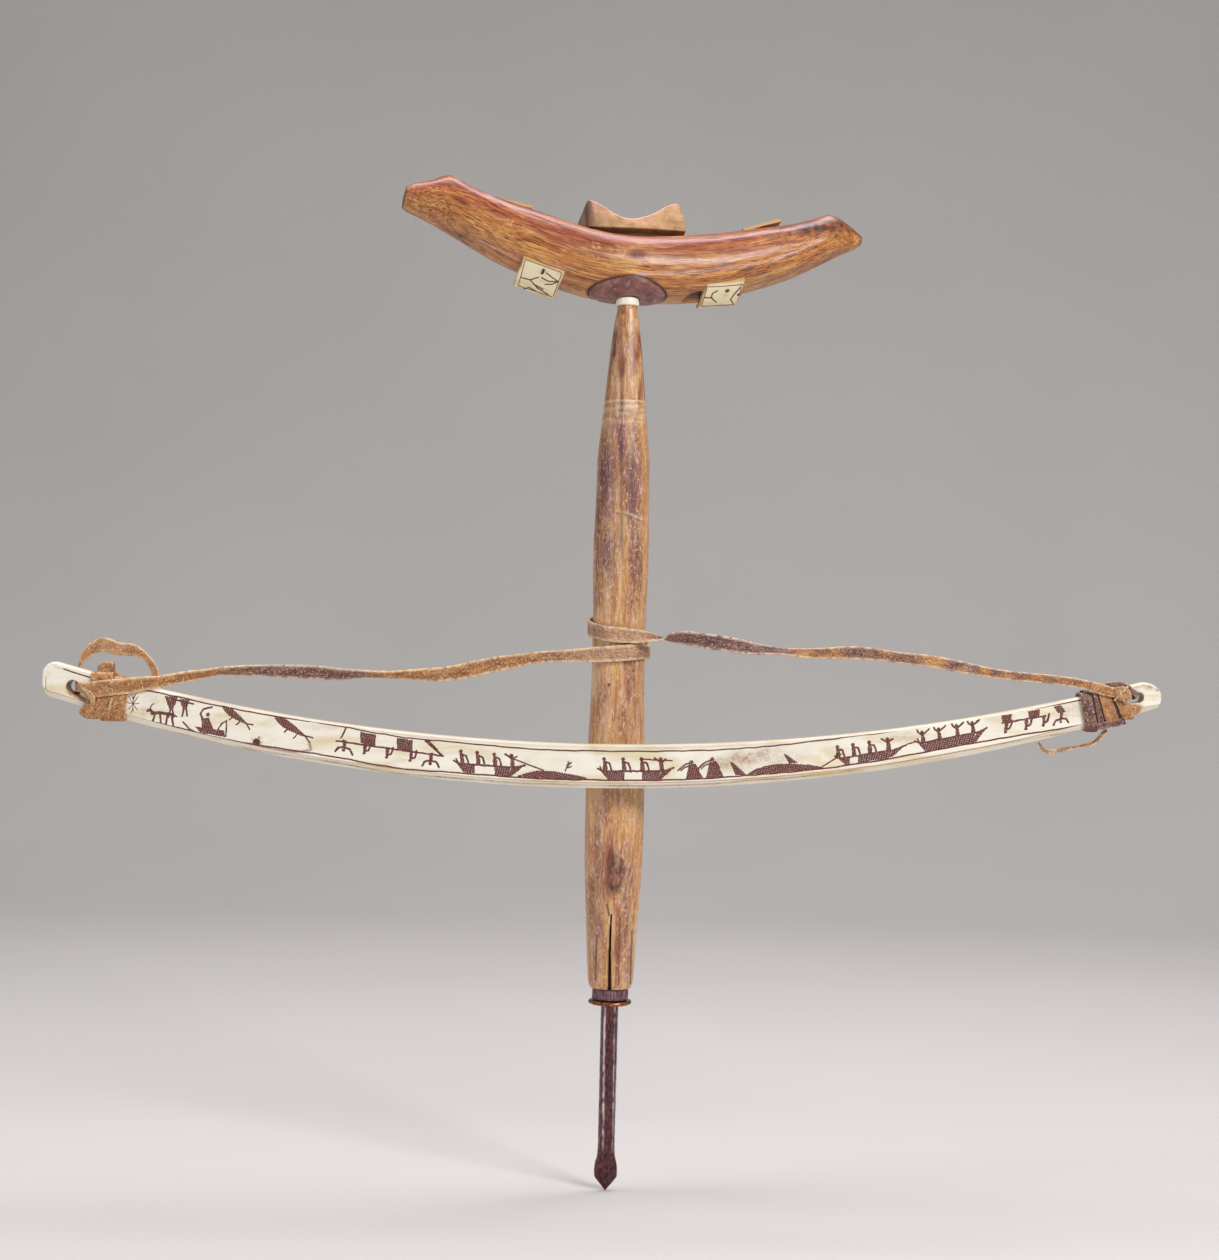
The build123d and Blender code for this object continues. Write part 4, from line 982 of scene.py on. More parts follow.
# the whittled faces take their grain from where they lie
co = M_inv(get_co(arch))
ga = arch.data.attributes["g"]
gv = np.empty(len(co) * 3, np.float32)
ga.data.foreach_get("vector", gv)
gv = gv.reshape(-1, 3)
uu_ = np.clip(co[:, 0], ua[0], ua[-1])
new = np.stack([np.interp(uu_, ua, sarc[:, 0]), co[:, 1], co[:, 2] - A_mid(uu_)], -1)
on_cut = np.zeros(len(co), bool)
for a_, b_ in ((e2, e1), (e1, pk), (pr_, m1), (m1, p3)):
    t_ = (b_ - a_) / np.linalg.norm(b_ - a_)
    dd = (co[:, [0, 2]] - a_) @ np.array([t_[1], -t_[0]])
    on_cut |= (np.abs(dd) < 0.02) & ((co[:, 0] < -60) | (co[:, 0] > 80))
gv[on_cut] = new[on_cut]
ga.data.foreach_set("vector", gv.ravel())
for nm_, val in (("low", 0.15), ("dark", 0.12), ("pale", 0.0), ("green", 0.2), ("red", 0.35), ("painted_gloss_ridge", 0.0)):
    av = np.empty(len(co), np.float32)
    arch.data.attributes[nm_].data.foreach_get("value", av)
    av[on_cut] = val
    if nm_ == "dark":
        t_ = (e2 - e1) / np.linalg.norm(e2 - e1)
        av[on_cut & (np.abs((co[:, [0, 2]] - e1) @ np.array([t_[1], -t_[0]])) < 0.02) & (co[:, 0] < -70)] = 0.6
    arch.data.attributes[nm_].data.foreach_set("value", av)
dress(arch, wood_m)
sharpen(arch, 40)
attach(arch, "mouthpiece")
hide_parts("mouthpiece_arch")

# stone: domed oval face, rounded rim, sides let into the wood
nr, na = 40, 120
fr = np.concatenate([np.linspace(0.02, 0.93, nr), [0.955, 0.975, 0.99, 0.998, 1.0, 1.0, 1.0]])
ph = np.linspace(0, 2 * np.pi, na, endpoint=False)
FR, PH = np.meshgrid(fr, ph, indexing="ij")
us, vs = 14.75 * FR * np.cos(PH), 9.85 * FR * np.sin(PH)
ws = under(us, vs) - 0.62
rim = np.clip((FR - 0.9) / 0.1, 0, 1)
ws = ws + 0.9 * (1 - np.sqrt(np.clip(1 - rim ** 2, 0, 1)))
ws = ws - 0.45 * (1 - FR ** 2)
ws[-2:, :] = under(us[-2:], vs[-2:]) + 1.2
ws[-1, :] = 9.6
L = np.stack([us, vs, ws], -1)
L[..., 2] += 0.10 * fbm(L, (4, 4, 4), 101, 3) * (FR < 0.97)
P = M(L)
px, py = project(P)
# small pale spots on the stone: painted highlights
pale = np.zeros_like(FR)
for cx, cy, rx, ry, an in ((628, 283.5, 0.8, 2.6, 15), (615, 289, 1.6, 0.5, 10), (645, 281, 2.6, 0.5, 0), (603, 296, 1.4, 0.6, 30), (652, 291, 1.0, 0.5, 0)):
    pale = np.maximum(pale, 0.4 * blob(px, py, cx, cy, rx, ry, an, 0.7))
# darker on the stone's lower side: painted shade; the rim where it sits in the wood is dark too
painted_shade_and_rim = 0.55 * smooth(0.4, 1.0, -np.sin(PH) * -1 * FR) * smooth(-2, 5, vs) + 0.8 * smooth(0.965, 1.0, FR)
stone = tube("socket_stone", P, {"pale": pale, "dark": np.clip(painted_shade_and_rim, 0, 1)})
PS, _ = lathe_points([(4.8, 318.0), (4.8, 335.3), (3.25, 335.35), (3.25, 337.25)] + [(3.25 * math.cos(t), 337.25 + 3.25 * math.sin(t)) for t in np.linspace(0.2, 1.45, 8)], 64)
cut(stone, tube("c5", PS))
dress(stone, stone_m)
sharpen(stone, 35)
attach(stone, "mouthpiece")
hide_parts("stone_socket")

# bite block
top = [(-13.6, 37.6), (-12.0, 37.1), (-8.7, 35.2), (-5.4, 32.9), (-1.6, 31.2), (2.6, 30.85), (7.0, 32.1), (11.0, 34.0), (14.8, 36.6), (18.0, 38.3), (19.6, 38.75)]
ft = natural([p[0] for p in top], [p[1] for p in top])
prof = [(u, float(ft(u))) for u in np.linspace(-13.4, 19.3, 70)]
prof = [(-15.7, 25.75), (-15.6, 28.0), (-15.5, 31.0), (-15.4, 34.0), (-15.3, 36.2), (-15.0, 37.2), (-14.2, 37.6)] + prof + \
       [(20.3, 38.65), (21.0, 38.1), (21.6, 36.9), (22.1, 34.2), (22.6, 30.6), (22.75, 28.2), (22.6, 26.6)]
prof += [(u, float(np.interp(u, [-15.6, 4.7, 22.6], [25.75, 26.6, 26.6]))) for u in np.linspace(20, -14, 18)]
prof = np.array(prof)
nv = 44
vv = np.linspace(-8.5, 8.5, nv)
cen = prof.mean(0)
rings = []
rad = 0.6
for v in np.concatenate([-8.5 + rad * (1 - np.cos(np.linspace(0, np.pi / 2, 8))), np.linspace(-7.3, 7.3, 26), 8.5 - rad * (1 - np.cos(np.linspace(np.pi / 2, 0, 8)))]):
    e = max(0.0, abs(v) - (8.5 - rad))
    inset = rad - math.sqrt(max(rad ** 2 - e ** 2, 0))
    dirs = prof - cen
    ln = np.linalg.norm(dirs, axis=1, keepdims=True)
    # inset along the profile's own normals
    t = np.roll(prof, -1, 0) - np.roll(prof, 1, 0)
    nrm2 = np.stack([t[:, 1], -t[:, 0]], -1)
    nrm2 /= np.linalg.norm(nrm2, axis=1, keepdims=True) + 1e-9
    nrm2 *= np.sign((nrm2 * dirs).sum(1, keepdims=True)) * 1.0
    # the saddle's normals point up though they lean towards the middle
    up = nrm2[:, 1:2]
    fixm = (prof[:, 1:2] > 30.5) & (prof[:, 0:1] > -12.7) & (prof[:, 0:1] < 19.4)
    nrm2 = np.where(fixm & (up < 0), -nrm2, nrm2)
    q2 = prof - nrm2 * inset
    rings.append(np.stack([q2[:, 0], np.full(len(q2), v), q2[:, 1]], -1))
L = np.array(rings)
L = L + 0.09 * fbm(L, (6, 6, 6), 111, 2)[..., None] * np.array([1, 1, 1])
P = M(L)
px, py = project(P)
dark = 0.75 * smooth(-13.2, -14.3, L[..., 0]) * (0.7 + 0.3 * vnoise(P, (2, 2, 2), 5)) + 0.7 * smooth(593.5, 588.5, px) * smooth(-4, -8, L[..., 1])
# painted shade along the block's foot, where it meets the neck
dark = np.clip(dark + 0.5 * smooth(27.2, 26.2, L[..., 2]), 0, 0.9)
# painted highlight along the rounded top edge of the block
painted_edge_highlight = 0.7 * smooth(0.9, 0.25, np.abs(L[..., 2] - ft(np.clip(L[..., 0], -12.6, 19.6)))) * (L[..., 2] > 30) * smooth(-6.8, -7.8, L[..., 1])
block = tube("bite_block_body", P, {"g": L, "dark": dark, "painted_edge_highlight": np.clip(painted_edge_highlight, 0, 1)}, ngon=True)
dress(block, wood_b)
sharpen(block, 48)
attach(block, "mouthpiece")
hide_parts("bite_block")
nk = []
for w, gr in ((20.2, 0.0), (24.0, 0.0), (25.2, 0.15), (26.0, 0.5), (26.7, 1.2), (27.1, 1.3)):
    ring = []
    for t in np.linspace(0, 2 * np.pi, 72, endpoint=False):
        cx, sx_ = math.cos(t), math.sin(t)
        ring.append((4.65 + (16.1 + gr) * math.copysign(abs(cx) ** 0.25, cx), (3.7 + gr) * math.copysign(abs(sx_) ** 0.5, sx_), w))
    nk.append(ring)
nk = np.array(nk)
# the neck is painted dark all over: painted shade under the block
neck = tube("bite_block_neck", M(nk), {"g": nk, "dark": np.full(nk.shape[:2], 0.8), "painted_edge_highlight": np.zeros(nk.shape[:2])})
dress(neck, wood_b)
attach(neck, "mouthpiece")

# plaques
SPOTS = {
    "under_plaque_left": ((-33.1, 1.4, 8.75), 18.0, -14.0, 16.4, 15.4, 0.8),
    "under_plaque_right": ((36.7, 0.4, 6.55), -9.3, -8.0, 15.6, 15.2, 1.0),
    "top_plaque_left": ((-43.6, -0.4, 35.2), 11.0, 0.0, 15.6, 11.0, 0.12),
    "top_plaque_right": ((54.6, -0.2, 33.15), -19.8, 0.0, 16.8, 11.0, 0.12),
}


def rot(axis, deg):
    return np.array(Matrix.Rotation(math.radians(deg), 3, axis))


PLACES = {}
for name, (atp, slope, lean, wide, deep, curl) in SPOTS.items():
    R3 = rot("Y", slope) @ rot("X", lean)
    if name.startswith("top"):
        R3 = R3 @ rot("X", 180)
    PLACES[name] = (np.array(atp), R3)
MOTIF = {
    "under_plaque_left": [[(525.5, 259.6), (561.5, 272.8)], [(561.8, 273.2), (553.2, 296.2)], [(552.4, 297.0), (518.6, 286.0)], [(518.2, 285.6), (525.2, 260.4)],
                          [(520.8, 277.6), (530.2, 280.0), (538.4, 277.4)], [(530.2, 280.0), (537.0, 287.8), (548.0, 294.6)], [(533.6, 284.2), (543.0, 289.4)],
                          [(541.4, 277.6), (548.6, 281.6), (558.2, 281.8)], [(546.4, 273.0), (552.6, 278.0), (558.4, 281.8)], [(558.4, 281.8), (552.0, 284.4), (545.0, 284.4)],
                          [(523.0, 289.2), (529.0, 287.6), (536.0, 291.4)]],
    "under_plaque_right": [[(704.6, 287.2), (722.0, 286.6), (744.2, 284.6)], [(707.0, 287.6), (704.4, 297.0), (701.4, 306.2)], [(701.8, 306.6), (737.0, 304.6)], [(741.2, 285.6), (739.6, 296.0), (736.6, 304.4)],
                           [(704.6, 297.8), (711.6, 298.0)], [(717.6, 290.8), (712.4, 293.8), (711.0, 298.0), (716.4, 302.2)],
                           [(740.0, 287.8), (733.4, 295.4), (730.6, 299.8), (733.4, 304.0)], [(712.0, 298.0), (713.6, 300.4)]],
}
for name, (atp, slope, lean, wide, deep, curl) in SPOTS.items():
    o3, R3 = PLACES[name]
    T = 1.5
    nx, ny = 150, 140
    a = np.linspace(-wide / 2, wide / 2, nx)
    b = np.linspace(-deep / 2, deep / 2, ny)
    Ag, Bg = np.meshgrid(a, b, indexing="ij")
    # slightly uneven outline
    Ax = Ag + 0.18 * np.sin(Bg * 0.55 + len(name)) * np.abs(Ag) / (wide / 2)
    Bx = Bg + 0.14 * np.sin(Ag * 0.6 + 1) * np.abs(Bg) / (deep / 2)
    sag = -curl * (1 - (2 * Bg / deep) ** 2)
    ea = wide / 2 - np.abs(Ag)
    eb = deep / 2 - np.abs(Bg)
    e = np.minimum(ea, eb)
    rnd = 0.28 * (1 - smooth(0, 0.55, e))
    face = np.stack([Ax, Bx, -T + sag + rnd + 0.04 * vnoise(np.stack([Ag, Bg, 0 * Ag], -1), (3, 3, 3), 7)], -1)
    rear = np.stack([Ax, Bx, sag - 0.02], -1)
    ink = np.zeros_like(Ag)
    qx, qy = project(M(face @ R3.T + o3))
    for k_, st_ in enumerate(MOTIF.get(name, [])):
        ink = np.maximum(ink, line_mask(qx, qy, st_, 0.6 if k_ < 4 else 0.9, 0.6) * (0.75 if k_ < 4 else 0.95))
    if name not in MOTIF:
        for st_ in ([(-wide / 2 + 1, -deep / 2 + 0.9), (wide / 2 - 1, -deep / 2 + 0.9)], [(-wide / 2 + 1, deep / 2 - 0.9), (wide / 2 - 1, deep / 2 - 0.9)]):
            ink = np.maximum(ink, line_mask(Ag, Bg, st_, 0.4, 0.3))
    face[..., 2] += 0.12 * ink
    edge = 0.85 * (1 - smooth(0.0, 0.9, e)) + 0.25 * smooth(0.2, 0.8, vnoise(np.stack([Ag, Bg, 0 * Ag], -1), (2.5, 2.5, 3), 13))
    nfl = nx * ny
    V = np.concatenate([face.reshape(-1, 3), rear.reshape(-1, 3)])
    F = grid_faces(nx, ny, False, 0, flip=True) + grid_faces(nx, ny, False, nfl)
    border = [i * ny for i in range(nx)] + [(nx - 1) * ny + j for j in range(1, ny)] + [i * ny + ny - 1 for i in range(nx - 2, -1, -1)] + list(range(ny - 2, 0, -1))
    for k in range(len(border)):
        p_, q_ = border[k], border[(k + 1) % len(border)]
        F.append([p_, q_, q_ + nfl, p_ + nfl])
    Lp = V @ R3.T + o3
    zero = np.zeros(len(V))
    at_ = {"g": V, "ink": np.concatenate([ink.ravel(), zero[:nfl]]), "edge": np.clip(np.concatenate([edge.ravel(), zero[:nfl] + 0.8]), 0, 1),
           "stain": zero + 0.0}
    if name.startswith("top"):
        at_["stain"] = zero + 0.35
    pl = mesh_from(name + "_plate", M(Lp), F, at_)
    fix_normals(pl)
    if name == "under_plaque_right":
        for (ca, cb) in ((1.6, -3.4), (7.0, -0.6)):
            cc = tube("c6", np.stack([np.stack([ca + 0.86 * np.cos(ph), cb + 0.86 * np.sin(ph), 0 * ph + z0], -1) @ R3.T + o3 for z0 in (-6, 6)], 0))
            co = get_co(cc)
            cc.data.vertices.foreach_set("co", (M(co) * MM).astype(np.float32).ravel())
            cut(pl, cc)
    dress(pl, ivory_pl)
    sharpen(pl, 50)
    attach(pl, "mouthpiece")
    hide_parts(name)

# pegs and the nail
for k, (ca, cb) in enumerate(((1.6, -3.4), (7.0, -0.6))):
    o3, R3 = PLACES["under_plaque_right"]
    pr = [(0.0 + 0.84 * r_, z_) for r_, z_ in ((0.98, 4.8), (1.0, -2.2), (0.99, -2.95), (0.86, -3.2), (0.5, -3.32), (0.15, -3.35))]
    pr[0] = (0.84, 4.8)
    LP, _ = lathe_points([(r_, z_) for r_, z_ in pr], 32)
    LP = LP + 0.05 * vnoise(LP, (0.8, 0.8, 1), 3 + k)[..., None]
    LP[..., 2] = np.where(LP[..., 2] < -2, LP[..., 2] + 0.55, LP[..., 2])
    LP = LP + np.array([ca, cb, 0])
    pg = tube(f"plaque_peg_{k + 1}", M(LP @ R3.T + o3))
    dress(pg, peg_m)
    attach(pg, "mouthpiece")
    if k == 0:
        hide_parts("plaque_pegs")
o3, R3 = PLACES["under_plaque_left"]
cl = [(0.6, -5.6, 5.6), (0.6, -5.6, 0.0), (0.6, -5.6, -2.2), (0.58, -5.45, -2.7), (0.5, -5.05, -2.95), (0.42, -4.65, -2.8), (0.4, -4.5, -2.45)]
cl = np.array(cl)


def path_points(pts, n):
    pts = np.asarray(pts, float)
    s_ = np.concatenate([[0], np.cumsum(np.linalg.norm(np.diff(pts, axis=0), axis=1))])
    f = [natural(s_, pts[:, k]) for k in range(pts.shape[1])]
    t_ = np.linspace(0, s_[-1], n)
    return np.stack([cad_(t_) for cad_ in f], -1), t_


def sweep(pts, half_w, half_t, up=(0, 0, 1), tilt=None, n=None, sect=24, power=3.0):
    """Rings of a strap along points. half_w is along up, half_t across it; tilt in degrees."""
    pts = np.asarray(pts, float)
    n = len(pts)
    tg = np.gradient(pts, axis=0)
    tg /= np.linalg.norm(tg, axis=1, keepdims=True)
    upv = np.asarray(up, float)
    if upv.ndim == 1:
        upv = np.broadcast_to(upv, pts.shape)
    a_ = upv - (upv * tg).sum(1, keepdims=True) * tg
    a_ /= np.linalg.norm(a_, axis=1, keepdims=True)
    b_ = np.cross(tg, a_)
    if tilt is not None:
        t_ = np.radians(tilt)[:, None]
        a_, b_ = a_ * np.cos(t_) + b_ * np.sin(t_), b_ * np.cos(t_) - a_ * np.sin(t_)
    th = np.linspace(0, 2 * np.pi, sect, endpoint=False)
    cw = np.sign(np.cos(th)) * np.abs(np.cos(th)) ** (2 / power)
    ct = np.sign(np.sin(th)) * np.abs(np.sin(th)) ** (2 / power)
    hw = np.broadcast_to(np.asarray(half_w, float), (n,))[:, None, None]
    ht = np.broadcast_to(np.asarray(half_t, float), (n,))[:, None, None]
    P_ = pts[:, None] + hw * cw[None, :, None] * a_[:, None] + ht * ct[None, :, None] * b_[:, None]
    return P_, cw, ct


cp, _ = path_points(cl, 60)
Pn_, _, _ = sweep(cp, 0.5, 0.5, up=(1, 0, 0.01), sect=16, power=2.0)
nail = tube("bent_nail", M(Pn_ @ R3.T + o3))
dress(nail, iron_m)
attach(nail, "mouthpiece")
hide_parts("plaque_nail")

# --------------------------------------------------------------------- bow
FY, BY = -23.0, -15.0
CL, CUx = (-14.35, 820.52, 668.85), (-11.65, 929.67, 761.84)
XL, XR = -211.0, 199.1


def arcz(c, x):
    return c[1] - np.sqrt(c[2] ** 2 - (x - c[0]) ** 2)


def zlow(x):
    z = arcz(CL, x)
    t = np.clip((x - XL) / 5.5, 0, 1)
    z0 = arcz(CL, XL + 5.5)
    zl_ = 184.6 + (z0 - 184.6) * np.sqrt(1 - (1 - t) ** 2)
    z = np.where(x < XL + 5.5, zl_, z)
    t = np.clip((XR - x) / 8.0, 0, 1)
    z1 = arcz(CL, XR - 8.0)
    zr_ = 189.0 + (z1 - 189.0) * np.sqrt(1 - (1 - t) ** 2)
    return np.where(x > XR - 8.0, np.maximum(zr_, z), z)


def zup(x):
    z = arcz(CUx, x)
    t = np.clip((x - XL) / 5.0, 0, 1)
    z0 = arcz(CUx, XL + 5.0)
    zl_ = 188.4 + (z0 - 188.4) * np.sqrt(1 - (1 - t) ** 2)
    z = np.where(x < XL + 5.0, zl_, z)
    t = np.clip((XR - x) / 7.0, 0, 1)
    z1 = arcz(CUx, XR - 7.0)
    zr_ = 190.2 + (z1 - 190.2) * np.sqrt(1 - (1 - t) ** 2)
    return np.where(x > XR - 7.0, np.minimum(zr_, z), z)


xs = np.concatenate([XL + 0.02 + 6 * np.linspace(0, 1, 24) ** 2, np.linspace(XL + 6.2, XR - 8.2, 2300), XR - 8 + 7.98 * (1 - (1 - np.linspace(0, 1, 30)) ** 2)])
NF = 66
zl, zu = zlow(xs)[:, None], zup(xs)[:, None]
hgt = zu - zl
k1 = np.clip(hgt / 12.0, 0.1, 1)
fl, fu, bk = 2.2 * k1, 0.8 * k1, 1.9 * k1
tf = np.linspace(0, 1, NF)[None]
pts_y, pts_z = [], []


def seg(y0, z0, y1, z1, n, last=False):
    for t in np.linspace(0, 1, n, endpoint=last):
        pts_y.append(y0 + (y1 - y0) * t + 0 * zl[:, 0])
        pts_z.append((z0 + (z1 - z0) * t))


def col_(v):
    return v[:, 0]


seg(FY, col_(zl + fl), FY, col_(zu - fu), NF)
seg(FY, col_(zu - fu), FY + 0.75, col_(zu), 4)
seg(FY + 0.75, col_(zu), BY - 1.9, col_(zu), 8)
seg(BY - 1.9, col_(zu), BY, col_(zu - bk), 4)
seg(BY, col_(zu - bk), BY, col_(zl + bk), 16)
seg(BY, col_(zl + bk), BY - 1.9, col_(zl), 4)
seg(BY - 1.9, col_(zl), FY + 1.9, col_(zl), 8)
seg(FY + 1.9, col_(zl), FY, col_(zl + fl), 10)
Y = np.array([np.broadcast_to(v, xs.shape) for v in pts_y]).T.copy()
Zb = np.array([np.broadcast_to(v, xs.shape) for v in pts_z]).T.copy()
X = np.broadcast_to(xs[:, None], Y.shape).copy()
# soft ends
endf = np.minimum(np.clip((xs - XL) / 1.6, 0, 1), np.clip((XR - xs) / 1.6, 0, 1))[:, None]
sq = np.sqrt(1 - (1 - endf) ** 2) * 0.28 + 0.72
Y = -19.0 + (Y + 19.0) * sq
P = np.stack([X, Y, Zb], -1)
P[..., 1] += 0.10 * fbm(P, (38, 12, 9), 121, 2)
P[..., 2] += 0.10 * fbm(P, (22, 9, 30), 123, 2)
px, py = project(P)
colf = np.zeros(P.shape[1])
colf[:NF] = 1
isf = np.broadcast_to(colf, px.shape)

# borders of the picture field, photo pixels
UB = [(60, 668), (96, 679), (156.7, 692.5), (206.7, 703.3), (256.7, 713.3), (338, 725.8), (405, 737.6), (453, 742), (525, 748.6), (575, 750.6), (645, 751.4),
      (700, 750.6), (771, 746), (826.7, 739.7), (910, 728.6), (993, 715.6), (1076.7, 700.8), (1084, 699.4)]
LB = [(60, 699), (97, 707), (125, 715.3), (173.3, 726.7), (223.3, 739), (273, 747.5), (338, 757.5), (405, 769), (453, 772.4), (505, 776.6), (589, 780), (645, 780.4), (700, 779.0),
      (743, 775.8), (815.6, 769.4), (910, 755), (993, 739.7), (1076.7, 725.8), (1084, 724.4)]
ub = natural([p[0] for p in UB], [p[1] for p in UB])
lb = natural([p[0] for p in LB], [p[1] for p in LB])
INK = []  # (kind, points, width or strength)


def S(pts, w=1.1):
    INK.append(("s", pts, w))


def Fp(pts, k=0.85):
    INK.append(("f", pts, k))


def up_(x, h):
    return (x, float(lb(x)) - h)


def dn_(x, h):
    return (x, float(ub(x)) + h)


def person(tf_, x, h, s=1.0, arms="paddle", side=1):
    """A small figure from the hips up at x, h."""
    Fp([tf_(x - 1.8 * s, h + 9.6 * s), tf_(x + 0.8 * s, h + 10.4 * s), tf_(x + 2.6 * s, h + 6.0 * s), tf_(x + 3.2 * s, h - 0.4), tf_(x - 1.6 * s, h - 0.4)], 1.0)
    hx_, hy_ = tf_(x - 0.5 * s, h + 12.0 * s)
    Fp([(hx_ + 2.1 * s * math.cos(t), hy_ + 2.0 * s * math.sin(t)) for t in np.linspace(0, 2 * np.pi, 12, endpoint=False)], 1.0)
    S([tf_(x - 0.4 * s, h + 9.5 * s), tf_(x - 0.5 * s, h + 12 * s)], 1.6)
    if arms == "paddle":
        S([tf_(x + 0.6 * side * s, h + 9.2 * s), tf_(x + 4.8 * side * s, h + 8.0 * s), tf_(x + 6.2 * side * s, h + 4.0 * s), tf_(x + 7.2 * side * s, h - 0.6 * s)], 1.5)
    elif arms == "up":
        S([tf_(x - 1.0 * s, h + 9.0 * s), tf_(x - 4.6 * s, h + 12.0 * s), tf_(x - 6.0 * s, h + 15.0 * s)], 1.4)
        S([tf_(x + 0.8 * s, h + 9.4 * s), tf_(x + 5.0 * s, h + 12.2 * s), tf_(x + 7.4 * s, h + 14.4 * s)], 1.4)
    elif arms == "throw":
        S([tf_(x + 0.8 * s, h + 9.0 * s), tf_(x + 4.6 * s, h + 11.6 * s)], 1.4)
        S([tf_(x - 1.0 * s, h + 9.2 * s), tf_(x - 6.6 * s, h + 13.2 * s)], 1.4)
    elif arms == "down":
        S([tf_(x - 1.2 * s, h + 8.6 * s), tf_(x - 6.6 * s, h + 9.6 * s), tf_(x - 9.8 * s, h + 15.0 * s)], 1.6)
        S([tf_(x + 1.4 * s, h + 8.6 * s), tf_(x + 6.8 * s, h + 9.6 * s), tf_(x + 9.8 * s, h + 15.4 * s)], 1.6)


def boat(x0, x1, people, dep=9.0, gap=None, prow=10.0, arms=None, s=1.0):
    """An open skin boat on the lower border, bow to the right."""
    g0, g1 = gap or (None, None)
    body = [(x0, x1)] if gap is None else [(x0, g0), (g1, x1)]
    for k, (a_, b_) in enumerate(body):
        sl = 2.6 if k == 0 else 0.0
        sr = 3.4 if k == len(body) - 1 else 0.0
        Fp([up_(a_ + sl, 0.6), up_(b_ - sr, 0.6), up_(b_, dep), up_(a_, dep)])
    S([up_(x0 - 7.0, dep + 2.6), up_(x0 - 2, dep - 0.2), up_(x1 + 2, dep - 0.2), up_(x1 + prow, dep + 2.8)], 1.4)
    Fp([up_(x1 - 4, 0.8), up_(x1 + 0.5, 1.0), up_(x1 + prow, dep + 3.0), up_(x1 + 1, dep)], 1.0)
    Fp([up_(x0 + 3, 1.2), up_(x0 - 2.0, dep * 0.72), up_(x0 - 6.2, dep + 2.8), up_(x0 - 3.0, dep + 0.4), up_(x0 + 2.0, dep)], 1.0)
    S([up_(x0 - 4.6, dep + 4.4), up_(x0 - 2.6, dep + 0.8)], 1.1)
    for k, xp in enumerate(people):
        person(up_, xp, dep, s, (arms or ["paddle"] * len(people))[k])


def whale(x0, x1, top, fluke=True, spout=None):
    n = 22
    ptsw = []
    for k in range(n + 1):
        t = k / n
        ptsw.append(up_(x0 + (x1 - x0) * t, 0.8 + top * math.sin(math.pi * t) ** 0.75 * (0.86 + 0.14 * math.sin(5 * t + 1))))
    ptsw += [up_(x1, 0.4), up_(x0, 0.4)]
    Fp(ptsw, 0.95)
    if spout:
        xs_ = spout
        S([up_(xs_, top), up_(xs_ + 2.5, top + 6)], 0.9)
        S([up_(xs_ + 2.5, top + 6), up_(xs_ + 6, top + 8.4)], 1.1)
        S([up_(xs_ + 1.6, top + 3.4), up_(xs_ + 6.4, top + 4.6)], 1.0)
        S([up_(xs_ + 3.4, top + 5.8), up_(xs_ + 3.2, top + 9.4)], 0.9)


def fish(x0, y0, x1, y1, w=6.5):
    """A hatched fish hanging from x0, y0 to its tail at x1, y1."""
    dx, dy = x1 - x0, y1 - y0
    l = math.hypot(dx, dy)
    ux, uy, nx_, ny_ = dx / l, dy / l, -dy / l, dx / l
    pr = [(0, 0.1), (0.12, 0.42), (0.3, 0.62), (0.52, 0.5), (0.74, 0.26), (0.86, 0.1)]
    top_ = [(x0 + ux * l * a + nx_ * w * b * 0.9, y0 + uy * l * a + ny_ * w * b * 0.9) for a, b in pr]
    bot_ = [(x0 + ux * l * a - nx_ * w * b * 0.75, y0 + uy * l * a - ny_ * w * b * 0.75) for a, b in pr]
    Fp(top_ + bot_[::-1], 0.95)
    for k in (-1, 1):
        S([(x0 + ux * l * 0.84, y0 + uy * l * 0.84), (x1 + nx_ * 2.8 * k, y1 + ny_ * 2.8 * k)], 1.1)
    for a in (0.42, 0.66):
        S([(x0 + ux * l * a + nx_ * w * 0.4, y0 + uy * l * a + ny_ * w * 0.4), (x0 + ux * l * (a - 0.02) + nx_ * w * 0.95, y0 + uy * l * (a - 0.02) + ny_ * w * 0.95)], 1.0)


# small spiky plant beside the lashing
for dx, dy, ex, ey in ((0, 0, -5, -9), (0, 0, 1, -12), (0, 0, 6, -9), (0, 0, -7, -2), (0, 0, 7, -1), (0, 0, -5, 6), (0, 0, 5, 7), (0, 0, 0, 9), (0, -5, -4, -10), (1, -5, 4, -11), (0, 3, -3, 8)):
    S([(133 + dx, 704 + dy), (133 + dx + 0.85 * ex, 704 + dy + 0.85 * ey)], 0.35)
# birds hanging from the upper line
for xc, w_, h_ in ((171, 6.5, 15), (184.5, 5.5, 11)):
    y0_ = float(ub(xc))
    Fp([(xc - w_, y0_ + 0.5), (xc + w_, y0_ + 1.5), (xc + 2.0, y0_ + h_), (xc - 1.5, y0_ + h_)], 0.95)
    S([(xc - 1, y0_ + h_), (xc - 2.4, y0_ + h_ + 7)], 1.3)
    S([(xc + 1.6, y0_ + h_), (xc + 2.6, y0_ + h_ + 6.4)], 1.3)
    S([(xc, y0_ + 3), (xc + w_ + 3.5, y0_ + 5.6)], 1.3)
# four-legged animal
S([(152, 713.6), (158, 712.6), (166, 713.6), (172, 714.6)], 2.5)
for xl_, f_ in ((154.5, -2.0), (160.0, 0.6), (167, -0.8), (171.5, 1.6)):
    S([(xl_, 714), (xl_ + f_ * 0.5, 719.6), (xl_ + f_, float(lb(xl_)) - 1.0)], 1.6)
S([(152.6, 712.6), (149.6, 709.4), (147.4, 710.6)], 2.4)
S([(150.2, 709), (150.8, 705.6), (153.6, 703.4)], 0.8)
S([(172, 713.6), (176.6, 716.6)], 1.0)
